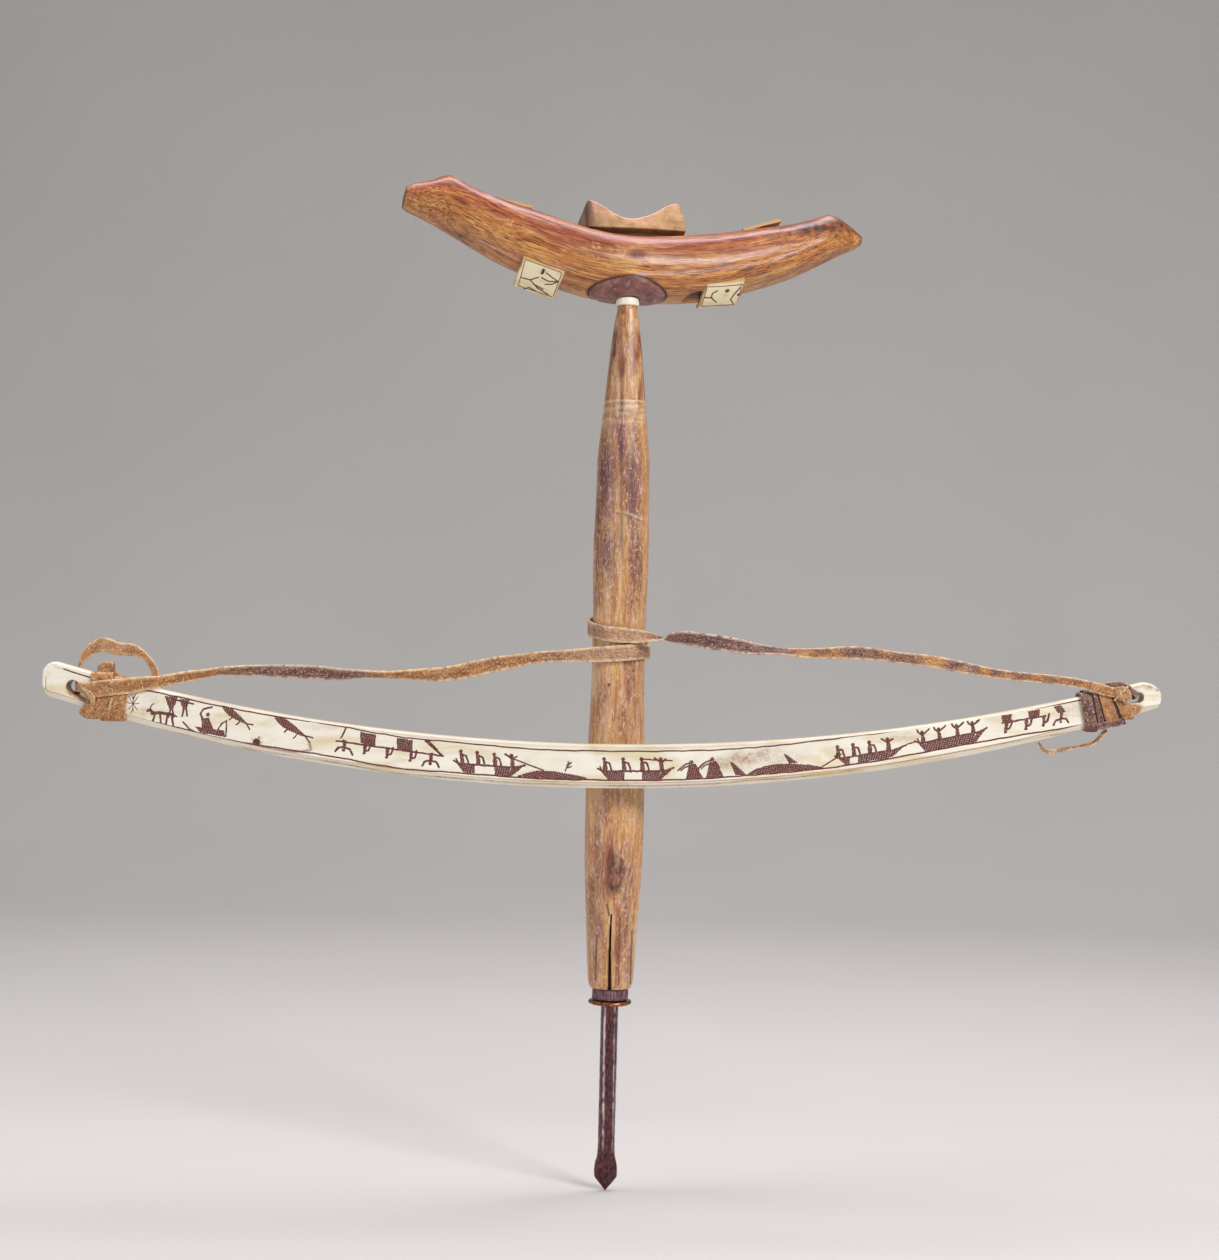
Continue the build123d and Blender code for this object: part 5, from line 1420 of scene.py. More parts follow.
# hide boat with one hunter
S([(183, 722), (190, 729.6), (198, 733.4)], 1.2)
Fp([(195, 726.6), (224, 730.6), (225, 737.0), (200, 732.8)], 0.95)
S([(224, 736.5), (218, 728.6), (222, 723.4), (226.6, 720.6), (225.6, 736.6)], 1.0)
Fp([(202, 729), (201.4, 718.6), (209, 717.6), (214, 730)], 1.0)
Fp([(208 + 2.2 * math.cos(t), 714.6 + 2.2 * math.sin(t)) for t in np.linspace(0, 6.28, 10)], 0.95)
S([(203.4, 720), (200.4, 714), (203.0, 709.4), (212, 707.4)], 1.6)
fish(222, 705.6, 251, 727.0, 7.5)
fish(274, 716.0, 311, 740.0, 8.5)
# upside-down group with a frame
S([dn_(336, 15.5), dn_(443, 15.0)], 1.3)
S([dn_(346, 1), dn_(341, 12)], 1.2)
for xa, xb in ((360, 376), (396.5, 413)):
    Fp([dn_(xa, 1.6), dn_(xb, 1.6), dn_(xb - 0.6, 13.0), dn_(xa + 0.4, 13.0)], 1.0)
for xp in (364.5, 387, 410.5):
    person(dn_, xp, 12.5, 0.82, "paddle")
for xp in (344.0, 430.5):
    person(dn_, xp, 13.2, 0.86, "down")
S([dn_(425.5, 1), dn_(442.0, 14.4)], 1.7)
S([dn_(428.5, 1), dn_(437, 9)], 1.3)
# crews, whales and tents
boat(460.5, 511, (461.5, 477.8, 494.6, 512), 9.6, (475, 494.5), 14, ["paddle", "paddle", "paddle", "throw"], 0.98)
S([up_(505, 22), up_(514, 18), up_(543, 8.6)], 1.0)
whale(517, 589, 8.6, spout=565)
boat(604.5, 661, (604.5, 623.6, 642, 661), 9.2, (624.5, 642), 13, ["paddle", "paddle", "paddle", "throw"], 1.0)
S([up_(644, 21), up_(672, 19.4)], 1.0)
for xc, hh_ in ((692, 17.5), (712.5, 19.5)):
    Fp([up_(xc - 6.5, 0.6), up_(xc + 11.5, 0.6), up_(xc + 3.0, hh_ * 0.86), up_(xc - 3.0, hh_ * 0.86)], 1.0)
    hx_, hy_ = up_(xc - 0.4, hh_ * 0.97)
    Fp([(hx_ + 2.4 * math.cos(t), hy_ + 2.1 * math.sin(t)) for t in np.linspace(0, 6.28, 10)], 1.0)
    S([up_(xc - 2, hh_ * 0.92), up_(xc - 7, hh_ * 0.86), up_(xc - 14.0, hh_ * 0.55)], 1.3)
    S([up_(xc - 2, hh_ * 0.76), up_(xc - 7, hh_ * 0.70), up_(xc - 11.0, hh_ * 0.52)], 1.1)
    S([up_(xc + 3, hh_ * 0.84), up_(xc + 7, hh_ * 0.5)], 1.0)
Fp([up_(729.6, 15.4), up_(732.4, 14.6), up_(746.5, 0.8), up_(735.5, 0.8)], 1.0)
whale(746, 823, 9.8)
Fp([up_(783, 19.4), up_(786, 18.0), up_(798, 8.4), up_(789, 8.4)], 1.0)
S([up_(822, 1.8), up_(842, 12)], 0.9)
boat(842, 892, (837.8, 853.4, 869.5, 888), 8.0, (850, 858), 14, ["paddle", "paddle", "paddle", "throw"], 0.98)
S([up_(902, 10.6), up_(916, 12)], 0.9)
boat(922, 976, (922.5, 939, 957, 972.5), 10.2, None, 11, ["up", "up", "up", "up"], 0.86)
# people hanging at the right end
for xp, sc, ar_ in ((1006, 0.84, "paddle"), (1026, 0.84, "paddle"), (1043.5, 0.8, "paddle"), (1061, 0.76, "down")):
    person(dn_, xp, 8.6, sc, ar_)
for xa, xb in ((1001.5, 1012), (1028, 1040)):
    Fp([dn_(xa, 1.6), dn_(xb, 1.6), dn_(xb - 1, 9.4), dn_(xa + 1, 9.4)], 1.0)
S([dn_(1002, 9), dn_(1046, 9.4)], 1.3)
Fp([dn_(1053, 1), dn_(1061, 1.4), dn_(1066, 9), dn_(1058, 9)], 1.0)

ink = np.zeros(px.shape)
fx, fy = px[:, :NF], py[:, :NF]
fink = np.zeros(fx.shape)
hat = np.abs(((fx * 0.42 + fy * 0.12) % 1) - 0.5) * 2
hat2 = np.abs(((fx * 0.10 - fy * 0.46) % 1) - 0.5) * 2
hatch = 0.28 + 0.72 * np.maximum(smooth(0.08, 0.42, hat), smooth(0.35, 0.75, hat2))


def cols(lo, hi):
    a_ = np.searchsorted(fx[:, NF // 2], lo - 4)
    b_ = np.searchsorted(fx[:, NF // 2], hi + 4)
    return slice(max(a_, 0), min(b_, len(fx)))


wob = 0.35 * vnoise(np.stack([fx, fy, 0 * fx], -1), (3.2, 3.2, 3), 140)
for kind, pts, wd in INK:
    c_ = cols(min(p[0] for p in pts), max(p[0] for p in pts))
    if kind == "s":
        mk = line_mask(fx[c_] + wob[c_], fy[c_] + wob[c_], pts, wd * 1.12, 0.6)
        fink[c_] = np.maximum(fink[c_], mk * 0.97)
    else:
        mk = poly_mask(fx[c_] + wob[c_], fy[c_] + wob[c_], pts)
        fink[c_] = np.maximum(fink[c_], mk * wd * hatch[c_])
# long border lines
for fn, off, w_, st_ in ((ub, 0.0, 1.25, 0.95), (lb, 0.0, 1.4, 1.0)):
    dl = np.abs(fy - fn(fx) - off - 0.35 * vnoise(np.stack([fx, 0 * fx, 0 * fx], -1), (9, 1, 1), 150))
    brk = 0.85 + 0.15 * vnoise(np.stack([fx, 0 * fx, 0 * fx], -1), (14, 1, 1), 151)
    on = smooth(60, 66, fx) * smooth(1086, 1080, fx)
    fink = np.maximum(fink, (1 - smooth(w_ / 2 - 0.2, w_ / 2 + 0.5, dl)) * st_ * brk * on)
# a second fainter line above the upper border on the left
dl = np.abs(fy - ub(fx) + 2.2 - 0.0 * fx)
fink = np.maximum(fink, (1 - smooth(0.2, 0.8, dl)) * 0.42 * smooth(700, 330, fx) * smooth(150, 170, fx))
# short upright groove at the left tip
fink = np.maximum(fink, 0.6 * line_mask(fx, fy, [(46, 677), (45.6, 689)], 0.9))
fink = np.maximum(fink, 0.45 * line_mask(fx, fy, [(54, 666.6), (78, 673.6), (96, 678.4)], 0.7))
fink = np.maximum(fink, 0.45 * line_mask(fx, fy, [(50, 697.4), (66, 702.6), (88, 708.6)], 0.7))
ink[:, :NF] = fink
P[:, :NF, 1] += 0.10 * fink
# chip hole with its halo
hole = blob(px, py, 256, 742.4, 3.5, 3.5, 0, 0.35) * isf
ink = np.maximum(ink, hole * 0.95)
P[..., 1] += 1.0 * hole
halo = blob(px, py, 256.6, 740.8, 5.6, 5.6, 0, 0.4) * smooth(-0.7, 0.3, vnoise(P, (1.0, 1.0, 1.0), 137))
stain = 0.9 * np.clip(halo - hole, 0, 1) * isf
crack = [(261, 746.6), (270, 749), (282, 750.6), (294.7, 751.8), (304, 751.2), (311, 749.4), (309.4, 743.5)]
crkm = line_mask(px, py, crack, 2.2, 1.6) * isf
stain = np.maximum(stain, 0.75 * crkm)
ink = np.maximum(ink, 0.42 * line_mask(px, py, crack, 0.7) * isf)
nst = fbm(P, (26, 6, 5), 131, 3)
stain = np.maximum(stain, 0.42 * smooth(0.35, 0.8, nst))
for cx, cy, rx, ry, k_ in ((770, 756, 30, 9, 0.4), (742, 764, 16, 6, 0.35), (900, 737, 24, 6, 0.35), (1070, 708, 14, 10, 0.45), (1000, 716, 12, 5, 0.3), (155, 700, 10, 7, 0.3),
                           (400, 727, 30, 2.5, 0.35), (345, 723, 20, 2, 0.3), (735, 760, 10, 5, 0.3), (143, 712, 10, 6, 0.3), (1145, 683, 10, 4, 0.8), (1157.5, 688.6, 3, 2.4, 1.0), (1150, 687.4, 5, 2.6, 0.9), (1136, 684.6, 6, 3, 0.9), (1133, 697, 7, 8, 0.6), (72, 686, 10, 8, 0.25),
                           (724, 764, 12, 6, 0.8), (745, 758, 16, 6, 0.9), (764, 755, 12, 6, 0.8), (660, 748, 18, 2.5, 0.4), (820, 740, 16, 3, 0.35), (590, 752, 30, 2, 0.25), (330, 727, 22, 3, 0.3)):
    stain = np.maximum(stain, k_ * blob(px, py, cx, cy, rx, ry, 0, 0.9) * isf * (0.75 + 0.4 * vnoise(P, (1.6, 1.6, 1.6), 133)))
# yellowed bevels and rims
ring_id = np.arange(P.shape[1])
bev = np.zeros(P.shape[1])
bev[-10:] = 0.22
bev[-3:] = 0.10
bev[NF:NF + 4] = 0.30
bev[NF + 4:-10] = 0.45
edge = np.broadcast_to(bev, px.shape).copy()
edge[:, 0:1] = 1.0
edge[:, -1:] = 0.8
edge = np.clip(edge * (0.75 + 0.5 * fbm(P, (18, 4, 4), 135, 3)), 0, 1)
edge[:, :NF] = np.maximum(edge[:, :NF], 0.30 * smooth(0.5, 0.0, np.abs(fy - ub(fx) + 3.5) / 3))
arris = (1 - smooth(0.35, 1.25, np.abs(py - lb(px) - 5.4 - 0.5 * vnoise(P, (12, 12, 12), 157)))) * (P[..., 1] < -18.5)
stain = np.maximum(stain, 0.85 * arris * np.clip(0.75 + 0.5 * vnoise(P, (5, 2, 2), 158), 0, 1))
kh = np.minimum(seg_dist(px, py, (72, 689), (92, 701)), 99)
edge = np.maximum(edge, 0.85 * smooth(6.5, 3.0, kh) * isf)
stain = np.maximum(stain, 0.8 * smooth(7.6, 5.6, kh) * isf * (0.7 + 0.4 * vnoise(P, (1.2, 1.2, 1.2), 139)))
bow = tube("bow_ivory_body", P, {"g": P, "ink": np.clip(ink, 0, 1), "stain": np.clip(stain, 0, 1), "edge": edge})


def slot_pts(a_, b_, ra, rb, n=14):
    """Outline round two circles."""
    ax, az = a_
    bx, bz = b_
    an = math.atan2(bz - az, bx - ax)
    o = []
    for t in np.linspace(an + math.pi / 2, an + 3 * math.pi / 2, n):
        o.append((ax + ra * math.cos(t), az + ra * math.sin(t)))
    for t in np.linspace(an - math.pi / 2, an + math.pi / 2, n):
        o.append((bx + rb * math.cos(t), bz + rb * math.sin(t)))
    return o


cut(bow, prism("c7", slot_pts((-199.6, 184.3), (-194.2, 180.4), 2.2, 1.5), -28, -10, "y"),
    prism("c8", slot_pts((188.0, 190.0), (190.6, 190.0), 1.8, 1.8), -28, -10, "y"))
# the walls inside both slots get full stain and rim colour: painted shade in the holes, with stain
co = get_co(bow)
in_l = seg_dist(co[:, 0], co[:, 2], (-199.6, 184.3), (-194.2, 180.4)) < 2.35
in_r = seg_dist(co[:, 0], co[:, 2], (188.0, 190.0), (190.6, 190.0)) < 1.95
for nm_, val in (("stain", 0.95), ("edge", 1.0)):
    av = np.empty(len(co), np.float32)
    bow.data.attributes[nm_].data.foreach_get("value", av)
    av[in_l | in_r] = val
    bow.data.attributes[nm_].data.foreach_set("value", av)
dress(bow, ivory_bow)
sharpen(bow, 32)
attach(bow, "bow")
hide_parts("bow")


# ------------------------------------------------------------------- straps
def strap_rings(pts, w, t, tilt=None, up=(0, 0, 1), n=160, rough=0.05, seed=1, power=4.2, sect=28, fuzz=0.05):
    """Rings of a rawhide strap with its own coordinates. pts in mm; w, t, tilt per point."""
    pts = np.asarray(pts, float)
    cp_, s_ = path_points(pts, n)
    sk = np.concatenate([[0], np.cumsum(np.linalg.norm(np.diff(pts, axis=0), axis=1))])
    wi = interp(sk, np.broadcast_to(np.asarray(w, float), (len(pts),)), s_)
    ti_ = interp(sk, np.broadcast_to(np.asarray(t, float), (len(pts),)), s_)
    tl = None if tilt is None else interp(sk, np.asarray(tilt, float), s_)
    P_, cw, ct = sweep(cp_, wi / 2, ti_ / 2, up, tl, sect=sect, power=power)
    gg = np.stack([np.broadcast_to(s_[:, None], P_.shape[:2]), wi[:, None] / 2 * cw[None], ti_[:, None] / 2 * ct[None] + 5 * seed], -1)
    wv = vnoise(np.stack([s_, 0 * s_, 0 * s_], -1), (2.6, 1, 1), seed)
    wv2 = vnoise(np.stack([s_, 0 * s_ + 9, 0 * s_], -1), (0.9, 1, 1), seed + 3)
    P_ = cp_[:, None] + (P_ - cp_[:, None]) * (1 + (rough * wv + 0.5 * rough * wv2)[:, None, None] * np.abs(cw)[None, :, None] ** 4)
    P_ = P_ + (fuzz * fbm(gg, (1.6, 1.2, 3), seed + 200, 3))[..., None] * (P_ - cp_[:, None]) / (np.linalg.norm(P_ - cp_[:, None], axis=-1, keepdims=True) + 1e-6)
    ed = smooth(0.56, 0.94, np.abs(cw))[None] * (0.72 + 0.6 * vnoise(gg, (1.1, 3, 3), seed + 7))
    return P_, gg, np.clip(ed, 0, 1)


def finish_strap(name, P_, gg, ed, body, warm, light, dark, caps=(True, True)):
    sh = P_.shape[:2]
    f = lambda v: np.clip(v(P_) if callable(v) else np.full(sh, float(v)), 0, 1)
    ob = tube(name, P_, {"g": gg, "edge": ed, "warm": f(warm), "light": f(light), "dark": f(dark)}, caps=caps)
    dress(ob, hide)
    if body:
        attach(ob, body)
    return ob


def strap(name, pts, w, t, body, warm=1.0, light=0.0, dark=0.0, edge_light=0.7, **kw):
    P_, gg, ed = strap_rings(pts, w, t, **kw)
    return finish_strap(name, P_, gg, ed * edge_light, body, warm, light, dark)


def pxl(rows, y):
    """Centres in mm from photo rows (x, y top, y bottom); y is a number or one per row."""
    o = []
    for k, (x_, a_, b_) in enumerate(rows):
        yy = y[k] if hasattr(y, "__len__") else y
        o.append(at(x_, (a_ + b_) / 2, yy))
    return o


# the thong is one strip from bow end to bow end, made whole and then parted where the bodies change
LT = [(112, 679.5, 695), (127, 678, 694), (142, 677, 690.5), (157, 676, 688), (173, 673.6, 684.4), (190, 671, 680.6), (205, 669.4, 677.6), (220, 667.4, 675), (240, 665.6, 675.2), (257, 664.8, 676), (273, 664.6, 677), (290, 664.8, 678),
      (307, 665, 679), (325, 666.4, 680), (340, 668.4, 680), (357, 669.6, 678.2), (375, 671, 677.4), (390, 671.2, 678.2), (410, 669.8, 679), (430, 668, 681), (445, 666.8, 681), (460, 664, 679.4), (480, 659.4, 675.4),
      (500, 656, 671), (520, 653.8, 666.6), (540, 651.6, 662.6), (560, 650.2, 662), (577, 648.6, 662.2), (592, 647.2, 662.2)]
ly = [float(np.interp(p_[0], [112, 127, 157, 250, 400, 592], [-24.7, -24.6, -24.2, -21.6, -16.6, -11.45])) for p_ in LT]
pts = pxl(LT, ly)
wid = [(b_ - a_) * 0.372 for _, a_, b_ in LT]
til = [float(np.interp(p_[0], [112, 157, 205, 225, 257, 330, 370, 400, 445, 500, 592], [0, 8, 40, 48, 14, 8, 48, 38, 10, 4, 0])) for p_ in LT]
wid = [min(5.9, w_ / max(0.55, math.cos(math.radians(t_)))) for w_, t_ in zip(wid, til)]
# lower crossing of the spindle, round its back, up and over the front again
for px_, a_, b_ in ((606, 646.4, 661.6), (622, 645.2, 660.8), (634, 644.4, 660)):
    pts.append(at(px_, (a_ + b_) / 2, -11.3 + 0.0012 * (px_ - 618) ** 2)); wid.append(5.8); til.append(0)
for a_, z_ in ((-38, 202.1), (-15, 202.15), (10, 202.5), (35, 203.3), (60, 204.6), (85, 206.6), (110, 209.0), (130, 210.9), (150, 211.9), (170, 211.5), (190, 210.6), (210, 209.7), (228, 209.2)):
    rc = 11.0 + 0.42 * abs(math.cos(math.radians(a_))) ** 2
    pts.append(np.array([rc * math.cos(math.radians(a_)), rc * math.sin(math.radians(a_)), z_])); wid.append(5.6); til.append(0)
for px_, a_, b_, w_, t_, y_ in ((606, 625.2, 641.6, 5.8, 0, -11.05), (618, 626.6, 642.8, 5.8, 0, -11.15), (630, 628.6, 643.2, 5.6, -8, -11.3), (641, 630.8, 642.4, 5.4, -30, -11.7), (651, 633.4, 641.2, 5.2, -54, -12.1), (661, 636.4, 641.0, 5.0, -78, -12.3),
                                 (671, 632.6, 642.6, 5.0, -128, -12.4), (680, 630.8, 644, 5.2, -152, -12.6), (692, 631.2, 646.6, 5.6, -172, -12.9), (705, 633, 649, 5.8, -180, -13.3)):
    pts.append(at(px_, (a_ + b_) / 2, y_)); wid.append(w_); til.append(t_)
RT = [(720, 635, 651), (735, 638, 653), (750, 642, 654.4), (765, 645.4, 654.8), (780, 648, 654.8), (795, 648.6, 656.6), (815, 648.2, 658.6), (835, 647, 659), (855, 646.4, 659.6), (880, 649, 661), (905, 653, 664), (930, 655.4, 667), (955, 660, 671.6),
      (980, 665.6, 676.0), (1005, 670.4, 679.4), (1030, 673.0, 681.8), (1050, 674.8, 683.8), (1066, 676.8, 685.8), (1080, 679.0, 688.2), (1092, 681.6, 691.4)]
ry = [float(np.interp(p_[0], [720, 880, 1030, 1092], [-13.8, -18.4, -22.4, -24.7])) for p_ in RT]
rt = [float(np.interp(p_[0], [720, 750, 768, 785, 815, 1092], [-184, -200, -222, -224, -192, -182])) for p_ in RT]
pts += pxl(RT, ry)
wid += [min(5.8, (b_ - a_) * 0.372 / max(0.6, abs(math.cos(math.radians(t_))))) for (_, a_, b_), t_ in zip(RT, rt)]
til += rt
TP, TG, TE = strap_rings(pts, wid, 0.95, tilt=til, n=1750, seed=11)
cx_ = TP.mean(1)
sp_ = np.arange(len(cx_))
on_l = cx_[:, 0] < 0
k_turn0 = int(np.argmax((cx_[:, 0] > -12.4)))
k_lead0 = int(np.argmax((cx_[:, 0] > -150.0)))
k_turn1 = len(cx_) - 1 - int(np.argmax((cx_[::-1, 0] < 14.8)))
k_lead1 = int(np.argmax((cx_[:, 0] > 146.0) & (sp_ > k_turn1)))
warm_l = lambda P_: 0.95 * smooth(-128, -158, P_[..., 0] + 4 * vnoise(P_, (5, 5, 5), 301))
warm_r = lambda P_: 0.95 * smooth(176, 186, P_[..., 0] + 4 * vnoise(P_, (5, 5, 5), 302)) + (0.52 + 0.62 * vnoise(P_, (4, 4, 4), 303)) * smooth(58, 70, P_[..., 0] + 3 * vnoise(P_, (5, 5, 5), 304)) + 0.06
for nm, a_, b_, body, wm, lt_ in (("thong_left_lead", 0, k_lead0, None, warm_l, 0.0),
                                  ("thong_left_strap", k_lead0, k_turn0, None, lambda P_: (0.78 + 0.25 * vnoise(P_, (7, 7, 7), 306)) * smooth(-98, -82, P_[..., 0]) * (1 - 0.3 * smooth(-30, -15, P_[..., 0])) + 0.08 + warm_l(P_), lambda P_: 0.30 * smooth(-30, -10, P_[..., 0])),
                                  ("thong_turn_strap", k_turn0, k_turn1, None, 0.55, lambda P_: 0.38 + 0.25 * vnoise(P_, (3, 3, 3), 305) - 0.75 * smooth(9.5, 14.5, P_[..., 0]) * (P_[..., 2] > 205.5)),
                                  ("thong_right_strap", k_turn1, k_lead1, None, warm_r, 0.0),
                                  ("thong_right_lead", k_lead1, len(cx_) - 1, None, warm_r, 0.0)):
    sl = slice(a_, b_ + 1)
    ob = finish_strap(nm, TP[sl], TG[sl], TE[sl] * 1.15, None, wm, lt_, 0.0, caps=(a_ == 0, b_ == len(cx_) - 1))
    c0, c1 = cx_[a_] * MM, cx_[b_] * MM
    if nm == "thong_left_lead":
        tuple(c1)
        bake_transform(ob)
    elif nm == "thong_left_strap":
        tuple(c1)
        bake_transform(ob)
        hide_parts("thong_left_run")
    elif nm == "thong_turn_strap":
        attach(ob, "thong_wrap")
        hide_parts("thong_turn")
    elif nm == "thong_right_strap":
        tuple(c0)
        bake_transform(ob)
        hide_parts("thong_right_run")
    else:
        tuple(c0)
        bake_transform(ob)


# bands round the bow: a strap that follows the bow's section, leaning with its edges
def band(name, top, bot, t, seed, warm=1.0, light=0.5, dark=0.0, lift=0.0, drop=0.0, foot=0.0):
    """A band across the bow; top and bot are photo pixels (left, right, y) of its visible front edges."""
    tx0, tx1, ty = top
    bx0, bx1, by_ = bot
    A0, A1, B0, B1 = (at(x_, y_, FY - 0.8) for x_, y_ in ((tx0, ty), (tx1, ty), (bx0, by_), (bx1, by_)))
    def xw(z_):
        f = np.minimum((z_ - B0[2]) / (A0[2] - B0[2]), 1.0)
        f1 = np.minimum((z_ - B1[2]) / (A1[2] - B1[2]), 1.0)
        l_ = B0[0] + (A0[0] - B0[0]) * f + foot * smooth(B0[2] + 3.2, B0[2] - 1.0, z_) ** 1.6
        r_ = B1[0] + (A1[0] - B1[0]) * f1
        return (l_ + r_) / 2, np.maximum(r_ - l_, 0.8)
    xm = float(xw(np.array([185.0]))[0][0])
    zt, zb_ = float(zup(np.array([xm]))[0]), float(zlow(np.array([xm]))[0])
    xt, xb = float(xw(np.array([zt]))[0][0]), float(xw(np.array([zb_]))[0][0])
    zt, zb_ = float(zup(np.array([xt]))[0]), float(zlow(np.array([xb]))[0])
    o = 0.22 + t / 2 + lift
    yf, yb = FY - o, BY + o
    corners = [(yf, zt - 0.6), (yf, zb_ + 2.0), (yf + 1.4, zb_ - o - drop), (yb - 1.7, zb_ - o - drop * 0.5), (yb, zb_ + 1.6), (yb, zt - 1.6), (yb - 1.7, zt + o), (yf + 0.9, zt + o)]
    n = len(corners)
    pts_ = []
    for k in range(n):
        a_, b_ = np.array(corners[k]), np.array(corners[(k + 1) % n])
        m_ = max(2, int(np.linalg.norm(b_ - a_) / 0.6))
        for t_ in range(m_):
            pts_.append(a_ + (b_ - a_) * t_ / m_)
    pts_ = np.array(pts_)
    for _ in range(3):
        pts_ = 0.5 * pts_ + 0.25 * (np.roll(pts_, 1, 0) + np.roll(pts_, -1, 0))
    xc_, wc_ = xw(pts_[:, 1])
    ctr = np.stack([xc_, pts_[:, 0], pts_[:, 1]], -1)
    tg = np.roll(ctr, -1, 0) - np.roll(ctr, 1, 0)
    tg[:, 0] = 0
    tg /= np.linalg.norm(tg, axis=1, keepdims=True)
    ax = np.broadcast_to(np.array([1.0, 0, 0.0]), tg.shape)
    nb = np.cross(tg, ax)
    th = np.linspace(0, 2 * np.pi, 34, endpoint=False)
    cw = np.sign(np.cos(th)) * np.abs(np.cos(th)) ** (2 / 4.5)
    ct = np.sign(np.sin(th)) * np.abs(np.sin(th)) ** (2 / 2.8)
    s_ = np.concatenate([[0], np.cumsum(np.linalg.norm(np.diff(ctr, axis=0), axis=1))])
    nz_ = vnoise(np.stack([pts_[:, 0], pts_[:, 1], 0 * s_], -1), (2.4, 2.4, 1), seed)
    nz2 = vnoise(np.stack([pts_[:, 0], pts_[:, 1], 0 * s_], -1), (0.8, 0.8, 1), seed + 1)
    wn = wc_ / 2 * (1 + 0.05 * nz_ + 0.03 * nz2)
    P_ = ctr[:, None] + wn[:, None, None] * cw[None, :, None] * ax[:, None] + t / 2 * ct[None, :, None] * nb[:, None]
    gg = np.stack([np.broadcast_to(s_[:, None], P_.shape[:2]), wn[:, None] * cw[None], np.broadcast_to(t / 2 * ct[None] + 5 * seed, P_.shape[:2])], -1)
    P_ = P_ + (0.09 * fbm(P_, (1.8, 2.0, 2.0), seed + 300, 3))[..., None] * nb[:, None]
    ed = light * smooth(0.86, 1.0, np.abs(cw))[None] * (0.5 + 0.7 * vnoise(gg, (1.3, 3, 3), seed + 9))
    sh = P_.shape[:2]
    f = lambda v: np.clip(v(P_) if callable(v) else np.full(sh, float(v)), 0, 1)
    ob = tube(name, P_, {"g": gg, "edge": np.clip(ed, 0, 1), "warm": f(warm), "light": f(0.0), "dark": f(dark)}, closed=True)
    dress(ob, hide)
    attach(ob, "bow")
    return ob


wo = band("left_band_outer", (90, 111.8, 696), (73.0, 99.3, 718), 0.9, 31, warm=lambda P_: 0.95 - 0.7 * smooth(-196.5, -199, P_[..., 0] + 0.35 * (P_[..., 2] - 176)), drop=2.6, foot=5.5)
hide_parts("left_wrap_outer")
wi_ = band("left_band_inner", (112.0, 127.4, 696), (98.6, 124.0, 720), 1.0, 32, drop=0.9)
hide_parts("left_wrap_inner")
seam = strap("left_band_lip", pxl([(112.4, 697, 699), (110.6, 701.5, 703.5), (109.8, 706, 708), (107.4, 709, 711)], -24.75), [0.9, 0.8, 0.6, 0.4], 0.5, "bow", light=1.0, n=40, seed=30, up=(1, 0, 0))
base = band("right_band_under", (1084, 1117, 694), (1092, 1126, 722), 0.5, 37, warm=0.1, dark=0.75, light=0.0)
ra = band("right_band_purple", (1079.6, 1090.6, 692), (1085.6, 1098.4, 731), 1.0, 33, warm=0.12, drop=0.4, lift=0.15)
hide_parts("right_lashing")
for k, (a_, b_, wm, dr, lf) in enumerate((((1092.6, 1096.6, 692), (1098.8, 1105.8, 728), 0.15, 0.5, 0.2), ((1098.0, 1110.2, 693), (1107.0, 1120.0, 725), 0.95, -0.3, 0.3), ((1112.4, 1120.0, 694), (1121.4, 1134.0, 716), 1.0, -0.6, 0.3))):
    ob = band(f"right_band_{k + 2}", a_, b_, 0.95, 34 + k, warm=wm, drop=dr, lift=lf)
for k, (rows, wm) in enumerate(((((1097, 724, 731), (1103, 722, 730), (1110, 720, 728)), 0.0), (((1110, 721, 728), (1116, 719, 727), (1123, 717, 723)), 0.05))):
    fr_ = strap(f"right_lashing_end_{k + 1}", pxl(rows, -23.4 + 0.3 * k), [2.2, 3.0, 2.0], 0.9, "bow", warm=wm, n=50, seed=38 + k)

# thong's end over the bow's face, going into the keyhole
le = strap("thong_left_end_strap", pxl([(114, 679.4, 695), (106, 680, 696), (98, 681, 697), (91, 682, 698.4), (85.5, 682, 697.5), (81, 682, 693)], [-24.75, -24.9, -24.95, -24.9, -24.4, -23.2]) + [np.array([-198.3, -21.2, 183.6]), np.array([-198.6, -18.4, 183.4])],
           [5.8, 6.0, 6.1, 6.2, 5.4, 3.8, 2.8, 2.6], 1.0, "bow", warm=0.9, light=lambda P_: 0.5 * smooth(-194.5, -198.0, P_[..., 0]), n=170, seed=41, up=(-0.12, 0, 1))
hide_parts("thong_left_end")
fold = strap("thong_left_fold", pxl([(79.5, 681.5, 685), (83, 685, 689.5), (88.5, 689, 696), (92.6, 695, 703), (92.2, 702, 708)], [-23.4, -24.2, -25.2, -25.4, -24.8]), [0.9, 1.4, 1.8, 1.9, 1.2], 0.8, "bow", warm=0.9, light=0.5, n=80, seed=42, up=(1, 0, 0.5))

